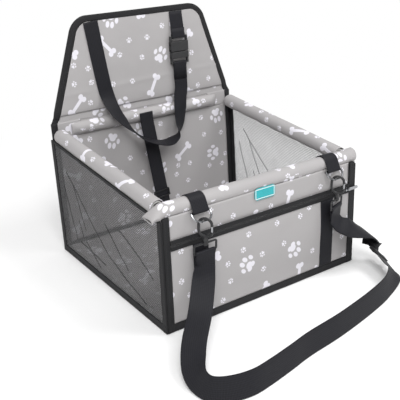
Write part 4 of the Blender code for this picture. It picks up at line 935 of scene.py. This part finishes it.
def band_centre(t):
    x, taper = band_place(t)
    sin, cos = math.sin(BACK_LEAN), math.cos(BACK_LEAN)
    return on_back(x, BAND_HEIGHT, WALL_MID + 0.0016 * taper), (0, -cos, sin), (0, sin, cos)


def band_squeeze(t, a):
    x, taper = band_place(t)
    small = 0.020 * ripple(x, a * 0.05, 11, 0.018)
    return (1.0 + small) * (1 - 0.80 * taper**1.5), (1.0 + small) * (1 - 0.1 * taper)


sleeve("band_cloth", band_centre, BAND_RADIUS, (170, 40), band_squeeze, ["rear_band"], origin=0.31)
panel("band_fin", on_back, oblong(*FIN_BOX), (6, 80), 0.0008,
      rippled(WALL_MID, 0.0002, 12, 0.02), origin=BAND_PRINT)

# Floor: quilted lining pad, and the base cloth below it
PAD_BOX = (-0.2045, 0.2045, -0.1745, 0.1722)
BASE_BOX = (-0.2065, 0.2065, -0.1762, 0.1742)
QUILT_PITCH, QUILT_SEAM = 0.104, 0.006


def level(x, y, z):
    return (x, y, z)


def quilt(x, y, u, v):
    edge = min(u, 1 - u, v, 1 - v)
    crown = 1 - math.exp(-edge / 0.04)
    seams = 1 - 0.5 * math.exp(-((x % QUILT_PITCH - QUILT_PITCH / 2) / QUILT_SEAM) ** 2)
    return 0.0075 + 0.0016 * crown * seams + 0.0004 * ripple(x, y, 13, 0.05)


lining = panel("floor_lining_pad", level, oblong(*PAD_BOX), (60, 70), 0.0030, quilt,
               ["floor_lining"], "lining", origin=(0.6, 0.3))
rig.padded(lining, fill=0.3)
panel("base_cloth", level, oblong(*BASE_BOX), (40, 46), 0.0014,
      rippled(0.0008, 0.00008, 14, 0.04), ["base_fabric"])


# Sides: net and its bindings, in (y, z)
SIDE_X = 0.2090
RIM_DROP = 0.0082
TOP_FRONT_Y, TOP_REAR_Y = -0.1440, 0.1890
NET_FRONT_OUT, NET_REAR_OUT = -0.0099, 0.0144
NET_LOW = 0.0140


def front_y(height, out):
    return -HALF_DEPTH + height * math.tan(FRONT_LEAN) - out / math.cos(FRONT_LEAN)


def back_y(height, out):
    return HALF_DEPTH + height * math.tan(BACK_LEAN) - out / math.cos(BACK_LEAN)


def rim_height(y):
    return FRONT_RIM_Z + (y - FRONT_RIM_Y) * RIM_SLOPE


def under_rim(y, further):
    return rim_height(y) - RIM_DROP - further


def net_side(side, sign):
    """One side's four bindings and its net, a little slack between them."""

    def place(y, z, o):
        return (sign * (SIDE_X + o), y, z)

    def strip(edge, path, width, steps, nodes=()):
        tape_strip(f"side_binding_{edge}_{side}", place, path, width, 0.0030, 0.0, steps, 0.0002, nodes)

    def slack(y, z, u, v):
        held = not (0 < u < 1 and 0 < v < 1)
        edge = 0.0 if held else (math.sin(math.pi * u) * math.sin(math.pi * v)) ** 0.6
        valley = math.exp(-((z - 0.028 - 0.10 * abs(u - 0.45)) / 0.009) ** 2)
        ridge = math.exp(-((z - 0.046 - 0.07 * abs(u - 0.6)) / 0.010) ** 2)
        waves = -0.0024 + 0.0034 * ripple(y, z, 15 + sign, 0.075)
        return edge * (waves + 0.0016 * (valley - ridge) + 0.0007 * ripple(y, z, 19, 0.022))

    foot = [(front_y(0.0072, 0.0020), FOOT_S), (back_y(0.0072, 0.0024), FOOT_S)]
    strip("bottom", foot, 0.0136, 90, [f"side_binding_{side}"])
    strip("front", [(front_y(EDGE_LOW, -0.0036), EDGE_LOW), (front_y(0.1940, -0.0036), 0.1940)], 0.0120, 70)
    rear_top = (back_y(0.2215, 0.0081), under_rim(REAR_RIM_Y, 0.001))
    strip("rear", [(back_y(EDGE_LOW, 0.0081), EDGE_LOW), rear_top], 0.0120, 70)
    strip("top", [(y, under_rim(y, 0.0025)) for y in (TOP_FRONT_Y, TOP_REAR_Y)], 0.0050, 90)
    corners = [
        (front_y(PANEL_LOW, NET_FRONT_OUT), NET_LOW),
        (back_y(PANEL_LOW, NET_REAR_OUT), NET_LOW),
        (back_y(0.2140, NET_REAR_OUT), under_rim(0.185, 0.0045)),
        (front_y(0.1900, NET_FRONT_OUT), under_rim(-0.158, 0.0045)),
    ]
    # The face towards the inside of the basket takes the painted pale light
    shifts = (0.0, NET_INNER_SHIFT) if sign < 0 else (NET_INNER_SHIFT, 0.0)
    panel(f"net_cloth_{side}", place, corners, (70, 100), 0.0004, slack, [f"side_net_{side}"], "net",
          shifts=shifts)


for side, sign in SIDES:
    net_side(side, sign)

# Rims: the front sleeve sags and is pinched flat at its open left end
SLEEVE_LEFT, SLEEVE_RIGHT = -0.2260, 0.2130
RIM_START_Y, RIM_END_Y = -0.1413, 0.19427


def front_rim_x(t):
    return SLEEVE_LEFT + (SLEEVE_RIGHT - SLEEVE_LEFT) * t


def front_rim_centre(t):
    x = front_rim_x(t)
    left = max(0.0, (-x - 0.196) / 0.0300)
    right = max(0.0, (x - 0.175) / 0.0380)
    y = FRONT_RIM_Y - 0.004 * left**1.5
    z = FRONT_RIM_Z - 0.0065 * left**1.5 + 0.0009 * right**1.5
    return (x, y, z), (0, -1, 0), (0, 0, 1)


def front_rim_squeeze(t, a):
    x = front_rim_x(t)
    pinch = min(1.0, max(0.0, (-x - 0.2035) / 0.024))
    way = min(a, 2 * math.pi - a) * RIM_RADIUS
    folds = 0.022 * ripple(x, way, 21, 0.016) + 0.012 * math.sin(3 * a + 40 * x)
    crumple = pinch * 0.16 * math.sin(3 * a + 260 * x)
    return 1.0 + folds + 0.10 * pinch + crumple, (1.0 + folds + crumple) * (1 - 0.84 * pinch**1.2)


sleeve("front_rim_cloth", front_rim_centre, RIM_RADIUS, (220, 48), front_rim_squeeze, ["front_rim_sleeve"],
       origin=0.735)


def side_rim(side, sign):
    """A side's sleeve, closed by a round cap at its rear end."""
    lean = math.atan(RIM_SLOPE)

    def centre(t):
        y = RIM_START_Y + (RIM_END_Y - RIM_START_Y) * t
        return (sign * RIM_X, y, rim_height(y)), (1, 0, 0), (0, -math.sin(lean), math.cos(lean))

    def squeeze(t, a):
        y = RIM_START_Y + (RIM_END_Y - RIM_START_Y) * t
        left_over = (RIM_END_Y - y) / RIM_RADIUS
        cap = math.sqrt(max(0.0, 1 - (1 - left_over) ** 2)) if left_over < 1 else 1.0
        way = math.cos(a) * 0.013 + math.sin(a) * 0.008
        folds = 0.024 * ripple(y, way, 23 + sign, 0.020) + 0.012 * math.sin(2 * a + 30 * y)
        return cap * (1.0 + folds), cap * (1.0 + folds)

    sleeve(f"{side}_rim_cloth", centre, RIM_RADIUS, (200, 44), squeeze, [f"{side}_rim_sleeve"],
           origin=0.37 + 0.57 * (sign > 0))


for side, sign in SIDES:
    side_rim(side, sign)

# Webbing loops round the front rim and the D rings' bars, in (y, z)
RIM_AXIS, RIM_ROUND = Vector((FRONT_RIM_Y, FRONT_RIM_Z)), 0.01420
RING_BAR, BAR_ROUND = Vector((-0.1735121, 0.196)), 0.00275
STATIONS = (("left", -0.139), ("right", 0.150))


def arc(centre, radius, start, end, count):
    angles = np.linspace(start, end, count)
    return [(centre.x + radius * math.cos(a), centre.y + radius * math.sin(a)) for a in angles]


away = RING_BAR - RIM_AXIS
heading = math.atan2(away.y, away.x)
spread = math.acos((RIM_ROUND - BAR_ROUND) / away.length)
loop_path = arc(RIM_AXIS, RIM_ROUND, heading + spread, heading + 2 * math.pi - spread, 40)
loop_path += arc(RING_BAR, BAR_ROUND, heading - spread, heading + spread, 14)
loop_path.append(loop_path[0])
line = spaced(loop_path, 110)
for side, x in STATIONS:
    strap(f"rim_webbing_{side}", [(x, y, z) for y, z in line], [f"rim_loop_{side}"])

# Head flap: cloth on both faces of its board, binding round its edge, and the seam that it folds on
FLAP_LOW, FLAP_TOP = 0.2615, 0.437
FLAP_SLOPE = 0.06 / (FLAP_TOP - FLAP_LOW)
FLAP_HALF = 0.200
FLAP_THICK = 0.0084
FLAP_STRAPS = (0.080, -0.100)
HINGE_S, HINGE_REACH = 0.2535, 0.0035
EDGE_INSET, EDGE_CORNER, EDGE_COUNT = 0.0055, 0.0225, 300
SEAM_BOX = (-0.1905, 0.1905, 0.2490, 0.2668)


def flap_half(s, inset, corner):
    """Half the flap's width at a height, this far inside its outline."""
    top = FLAP_TOP - inset
    half = FLAP_HALF - inset * math.hypot(1, FLAP_SLOPE) - (s - FLAP_LOW) * FLAP_SLOPE
    if s > top - corner:
        rise = min(corner, s - (top - corner))
        half -= corner - math.sqrt(max(corner * corner - rise * rise, 0.0))
    return half


def flap_cloth(name, node, face, seed, origin):
    """The flap's cloth on its front (face 1) or its rear (-1), taut beside the straps."""
    low, inset, corner = 0.2620, 0.0095, 0.0185

    def point(u, v):
        s = low + (FLAP_TOP - inset - low) * v
        x = u * flap_half(s, inset, corner)
        near = min(abs(x - strap_x) for strap_x in FLAP_STRAPS)
        free = 0.35 + 0.65 * min(1.0, max(0.0, (near - 0.018) / 0.02))
        crease = math.exp(-((s - 0.303 - 0.03 * x) / 0.0045) ** 2)
        waves = 0.0009 * ripple(x, s, seed, 0.07) + 0.0004 * ripple(x, s, seed + 1, 0.022)
        fade = 1 - math.exp(-(s - low) / 0.006)
        out = 0.0016 + 0.0019 * fade + free * (waves + 0.0006 * crease)
        return on_back(x, s, WALL_MID + face * out), (x + origin[0], s + origin[1])

    slab(name, *grid_of((70, 90), -1, 0, point), 0.0013, "printed_fabric", "headrest", [node])


def seam_swell(x, s, u, v):
    return WALL_MID + 0.0004 * ripple(x, s, 51, 0.03) + 0.0003


def blend_over_hinge(piece):
    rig.blend(piece, "basket", "headrest", start=on_back(0, HINGE_S - HINGE_REACH, WALL_MID),
             end=on_back(0, HINGE_S + HINGE_REACH, WALL_MID))


flap_cloth("flap_front_cloth", "headrest_front_cloth", 1, 31, (0.0, 0.0))
flap_cloth("flap_rear_cloth", "headrest_rear_cloth", -1, 41, (0.4, 0.1))
edge = []
for s in np.linspace(HINGE_S + 0.0040, FLAP_TOP - 0.0056, 160):
    edge.append((flap_half(s, EDGE_INSET, EDGE_CORNER), s))
edge_path = [(-x, s) for x, s in edge] + [(x, s) for x, s in reversed(edge)]
edge_thick = []
for _, s in spaced(edge_path, EDGE_COUNT):
    edge_thick.append(0.0034 + 0.0058 * min(1.0, max(0.0, (s - HINGE_S - 0.003) / 0.012)))
tape_strip("flap_binding", on_back, edge_path, 0.0112, edge_thick, WALL_MID, EDGE_COUNT, 0.0002,
           ["headrest_binding"], "headrest")

blend_over_hinge(panel("seam_cloth", on_back, oblong(*SEAM_BOX), (16, 80), 0.0008,
                       seam_swell, ["headrest_seam"], body=None, origin=BAND_PRINT))
for side, sign in SIDES:
    upper = flap_half(HINGE_S + 0.006, EDGE_INSET, EDGE_CORNER)
    ends = [(sign * 0.2012, HINGE_S - 0.0060), (sign * 0.1980, HINGE_S), (sign * upper, HINGE_S + 0.0060)]
    strip = tape_strip(f"hinge_binding_{side}", on_back, ends, 0.0118, 0.0026, WALL_MID, 24, 0.0, body=None)
    blend_over_hinge(strip)


# Straps, along the routes of the CAD
TURN_ANGLES = (22, 45, 68, 90, 112, 135, 158)


def wrapped(bar, away, front, radius, strand, tail):
    """Webbing round a bar: down one strand, round the bar and back along the tail."""
    bar, away, front = Vector(bar), Vector(away), Vector(front)
    turn = radius + GAP + WEB_THICK / 2
    close = WEB_THICK / 2 + GAP / 2
    pinch = 3 * turn
    steps = [(close, strand), (close, pinch), (turn, GAP)]
    steps += [(turn * math.cos(a), -turn * math.sin(a)) for a in np.radians(TURN_ANGLES)]
    steps += [(-turn, GAP), (-close, pinch), (-close, tail)]
    return [bar + front * f + away * d for f, d in steps]


def blended(keys, route):
    """Where a route's points lie between its keys, and the keys' directions across, blended there."""
    stations = stations_of([key[0] for key in keys], route)
    columns = [np.interp(stations, range(len(keys)), [key[1][k] for key in keys]) for k in range(3)]
    return stations, np.column_stack(columns)


def length_of(path):
    return float(sum(np.linalg.norm(np.subtract(a, b)) for a, b in zip(path, path[1:])))


# The carry strap's keys: a place and the direction across the webbing there
CARRY_ROUTE = (
    ((-0.149, -0.197, 0.088), (0.95, -0.30, 0.0)),
    ((-0.176, -0.225, 0.0545), (0.80, -0.58, -0.10)),
    ((-0.2134, -0.262, 0.0385), (0.80, -0.58, -0.05)),
    ((-0.2326, -0.285, 0.0303), (0.75, -0.60, 0.10)),
    ((-0.2457, -0.305, 0.0235), (0.70, -0.50, 0.45)),
    ((-0.2525, -0.328, 0.0200), (0.55, -0.20, 0.80)),
    ((-0.248, -0.350, 0.0190), (0.30, 0.20, 0.93)),
    ((-0.225, -0.365, 0.0186), (0.235, 0.332, 0.914)),
    ((-0.190, -0.372, 0.0186), (0.235, 0.332, 0.914)),
    ((-0.151, -0.368, 0.0186), (0.235, 0.332, 0.914)),
    ((-0.106, -0.360, 0.0186), (0.235, 0.332, 0.914)),
    ((-0.060, -0.351, 0.0186), (0.235, 0.332, 0.914)),
    ((0.019, -0.341, 0.0186), (0.235, 0.332, 0.914)),
    ((0.110, -0.323, 0.0186), (0.20, 0.34, 0.914)),
    ((0.168, -0.306, 0.0190), (0.05, 0.35, 0.92)),
)
CARRY_STRAIGHT = ((0.2080, -0.2850, 0.0215), (0.2380, -0.2050, 0.0310))
CARRY_STRAIGHT_ACROSS = (-0.70, 0.226, 0.679)
CARRY_RETURN = (
    ((0.2405, -0.2010, 0.0400), (-0.30, 0.90, 0.40)),
    ((0.233, -0.2040, 0.0530), (0.10, 0.98, 0.10)),
    ((0.217, -0.2060, 0.0670), (0.25, 0.96, 0.05)),
    ((0.195, -0.2070, 0.0780), (0.45, 0.80, 0.20)),
    ((0.171, -0.2020, 0.0890), (0.75, 0.50, 0.50)),
    ((0.1565, -0.1935, 0.0960), (0.90, 0.40, 0.20)),
)
CARRY_WIDTH = 0.038
EYE_Y, EYE_Z = -0.1869865, 0.1777256 - 0.0470
EYE_TURNS = (0.0, math.radians(20))
EYE_BAR = 0.0018
DOWN, UP = Vector((0, 0, -1)), Vector((0, 0, 1))

eyes = []
for (_, x), yaw in zip(STATIONS, EYE_TURNS):
    eyes.append((Vector((x, EYE_Y, EYE_Z)), Vector((math.cos(yaw), math.sin(yaw), 0))))
ends = [wrapped(bar, DOWN, along.cross(UP), EYE_BAR, 0.020, 0.019) for bar, along in eyes]
line = [Vector(CARRY_STRAIGHT[0]).lerp(Vector(CARRY_STRAIGHT[1]), k / 5) for k in range(6)]
keys = [(ends[0][0], eyes[0][1]), *CARRY_ROUTE, *((p, CARRY_STRAIGHT_ACROSS) for p in line), *CARRY_RETURN]
keys.append((eyes[1][0] + DOWN * 0.024, eyes[1][1]))
route = smooth_route([key[0] for key in keys], 230)
stations, across = blended(keys, route)
doubled_from = len(CARRY_ROUTE) + 5.5
thick = np.where(stations > doubled_from, 2 * WEB_THICK + GAP, WEB_THICK)
first, last = ends[0][::-1][:-1], ends[1]
whole = [tuple(p) for p in (*first, *route, *last)]
whole_across = [eyes[0][1]] * len(first) + list(across) + [eyes[1][1]] * len(last)
whole_thick = [WEB_THICK] * len(first) + list(thick) + [WEB_THICK] * len(last)
carry = strap("carry_webbing", whole, ["carry_strap"], whole_across, CARRY_WIDTH, whole_thick)
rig.cord(carry, exit=whole[0], length=length_of(whole), diameter=CARRY_WIDTH, far_end="object",
        stiffness="medium", lay="loose", path=whole, with_pieces=[frame["nodes"]["carry_adjuster"]])

# The flap's strap: down to the buckle, a doubled tail below it, and the loop hanging over the band
BUCKLE_X, BUCKLE_HEIGHT = 0.080, 0.350
ON_FLAP = 0.00945
STRAP_TOP = 0.4257
TAIL = 0.033
BUCKLE_BAR = 0.0016
SOCKET_S, PLUG_S = BUCKLE_HEIGHT + 0.0265, BUCKLE_HEIGHT - 0.0245
BUCKLE_O = FLAP_THICK + GAP + 0.005

turns = wrapped((BUCKLE_X, SOCKET_S, BUCKLE_O), (0, 1, 0), (0, 0, -1), BUCKLE_BAR, TAIL / 2, TAIL / 2)
path = [(BUCKLE_X, STRAP_TOP, ON_FLAP), (BUCKLE_X, STRAP_TOP - TAIL / 4, ON_FLAP), *(tuple(p) for p in turns)]
strap("flap_webbing_upper", [on_back(*p) for p in path], ["headrest_strap_upper"], body="headrest")
turns = wrapped((BUCKLE_X, PLUG_S, BUCKLE_O), (0, -1, 0), (0, 0, 1), BUCKLE_BAR, TAIL, TAIL)
strap("flap_webbing_tail", [on_back(*p) for p in turns], ["headrest_strap_tail"], body="buckle_plug")
LOOP_ROUTE = (
    ((0.0745, 0.1885, 0.258), (1.0, 0.0, 0.0)),
    ((0.0700, 0.1825, 0.235), (1.0, 0.1, 0.0)),
    ((0.0665, 0.1790, 0.210), (0.95, 0.35, 0.0)),
    ((0.0600, 0.1745, 0.192), (0.75, 0.65, 0.1)),
    ((0.0470, 0.1700, 0.1805), (0.3, 0.95, 0.1)),
    ((0.0260, 0.1640, 0.1765), (0.0, 1.0, 0.1)),
    ((-0.0080, 0.1550, 0.1865), (0.0, 1.0, 0.1)),
    ((-0.0360, 0.1560, 0.2005), (0.1, 1.0, 0.1)),
    ((-0.0530, 0.1615, 0.2165), (0.3, 0.9, 0.0)),
    ((-0.0690, 0.1690, 0.2365), (0.75, 0.6, 0.0)),
    ((-0.0820, 0.1800, 0.2580), (0.95, 0.3, 0.0)),
)
end = PLUG_S - TAIL - 2 * GAP
keys = [
    (on_back(BUCKLE_X, end, BUCKLE_O), ACROSS), (on_back(BUCKLE_X, end - TAIL / 2, BUCKLE_O), ACROSS),
    *LOOP_ROUTE,
    (on_back(-0.0880, 0.2850, ON_FLAP + WEB_THICK), ACROSS), (on_back(-0.0935, 0.3150, ON_FLAP), ACROSS),
    (on_back(-0.1010, 0.3700, ON_FLAP), ACROSS), (on_back(-0.1080, STRAP_TOP, ON_FLAP), ACROSS),
]
route = smooth_route([key[0] for key in keys], 150)
_, across = blended(keys, route)
hanging = strap("flap_webbing_loop", route, ["headrest_strap_loop"], list(across), body=None)
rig.blend(hanging, "basket", "headrest", start=(0, 0.19, 0.250), end=(0, 0.19, 0.285))
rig.cord(hanging, exit=tuple(route[0]), length=length_of(route), diameter=WEBBING, far_end="object",
        stiffness="medium", lay="hanging", path=[tuple(p) for p in route])

# The tether: from the band down the back wall, then along the floor to its hook
TETHER_STRAIGHT = (Vector((-0.0095, 0.18375, 0.2227)), Vector((0.0040, 0.1500, 0.0580)))
TETHER_REST = (
    (0.0045, 0.1435, 0.0370),
    (0.0050, 0.1330, 0.0215),
    (0.0050, 0.1130, 0.0140),
    (0.0050, 0.0900, 0.0125),
    (0.0050, 0.0640, 0.0125),
)
TETHER_EYE, TETHER_BAR = (0.0050, 0.0340, 0.0153), 0.0018

turns = wrapped(TETHER_EYE, (0, 1, 0), (0, 0, -1), TETHER_BAR, 0.018, 0.018)
line = [TETHER_STRAIGHT[0].lerp(TETHER_STRAIGHT[1], k / 8) for k in range(9)]
top = on_back(-0.0100, BAND_HEIGHT + 0.006, WALL_MID + 0.012 + GAP + WEB_THICK / 2)
route = smooth_route([top, *line, *TETHER_REST, turns[0]], 120)
path = [*route, *turns[1:]]
tether = strap("tether_webbing", path, ["tether_strap"])
hook = [frame["nodes"][name] for name in ("tether_adjuster", "tether_hook", "tether_gate")]
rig.cord(tether, exit=tuple(route[0]), length=length_of(path), diameter=WEBBING, far_end="object",
        stiffness="medium", lay="hanging", path=[tuple(p) for p in path], with_pieces=hook)

# Sheets: cut size, area where that isn't an oblong, what each rests on and what goes with it
for name, flat, area, rests_on, others in (
    ("front_panel_cloth", (0.3898, 0.1840), None, ["front_binding_left", "front_binding_right"], []),
    ("pocket_cloth", (0.3898, 0.1315), None, ["front_panel_cloth"], []),
    ("back_wall_cloth", (0.3898, 0.2070), None, ["back_binding_left", "back_binding_right"],
     ["back_wall_corner_left", "back_wall_corner_right"]),
    ("net_cloth_left", (0.3460, 0.2060), 0.0640, ["side_binding_bottom_left", "side_binding_top_left"], []),
    ("net_cloth_right", (0.3460, 0.2060), 0.0640,
     ["side_binding_bottom_right", "side_binding_top_right"], []),
    ("base_cloth", (0.4130, 0.3510), None, ["base_board"], []),
    ("flap_front_cloth", (0.3800, 0.1660), 0.0535, ["headrest_board"], []),
    ("flap_rear_cloth", (0.3800, 0.1660), 0.0535, ["headrest_board"], []),
    ("seam_cloth", (0.3810, 0.0180), None, ["back_wall_cloth"], ["band_fin"]),
):
    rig.sheet(bpy.data.objects[name], flat=flat, held="stretched", rests_on=rests_on, area=area,
             with_pieces=[bpy.data.objects[other] for other in others])

# Studio floor: off-white near the object, so that its shadow shows, and white far from it
FLOOR_HALF, FLOOR_Z = 6, -0.0002
FLOOR_LIFT, FLOOR_WHITE = 0.05, 1.0
FLOOR_CENTRE = (-0.05, -0.05, 0.0)
FLOOR_REACH, FLOOR_SOFT = 0.66, 0.26


def studio_floor():
    mesh = bpy.data.meshes.new("studio_floor")
    corners = oblong(-FLOOR_HALF, FLOOR_HALF, -FLOOR_HALF, FLOOR_HALF)
    mesh.from_pydata([(x, y, FLOOR_Z) for x, y in corners], [], [(0, 1, 2, 3)])
    mesh.materials.append(floor_finish())
    return placed("studio_floor", mesh)


def floor_finish():
    """A matt floor. What the camera sees of it is lifted a little, and fades to white."""
    g = Graph("scene_floor")
    place = g.place("Object")
    g.finish(g.mix(g.noise(place, 3.0), (0.93, 0.93, 0.93, 1), (0.96, 0.96, 0.96, 1)), roughness=0.9)
    g.shader.inputs["Specular IOR Level"].default_value = 0.0
    matt = g.shader.outputs[0]
    lift, white = (g.node("Emission", {"Strength": strength}) for strength in (FLOOR_LIFT, FLOOR_WHITE))
    lifted = g.node("AddShader", {0: matt, 1: lift.outputs[0]})
    away = g.vector("LENGTH", g.vector("SUBTRACT", place, FLOOR_CENTRE))
    fade = g.sub(1.0, g.step(away, FLOOR_REACH, FLOOR_SOFT))
    faded = g.node("MixShader", {0: fade, 1: lifted.outputs[0], 2: white.outputs[0]})
    looked_at = g.node("LightPath").outputs["Is Camera Ray"]
    surface = g.node("MixShader", {0: looked_at, 1: matt, 2: faded.outputs[0]})
    g.put(g.tree.nodes["Material Output"].inputs["Surface"], surface.outputs[0])
    return g.material


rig.stage(studio_floor())

with open("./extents.json", "w") as kept:
    json.dump({"cad": [list(map(float, p)) for p in CAD_BOX], "visual": [list(map(float, p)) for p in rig.bounds()]}, kept)
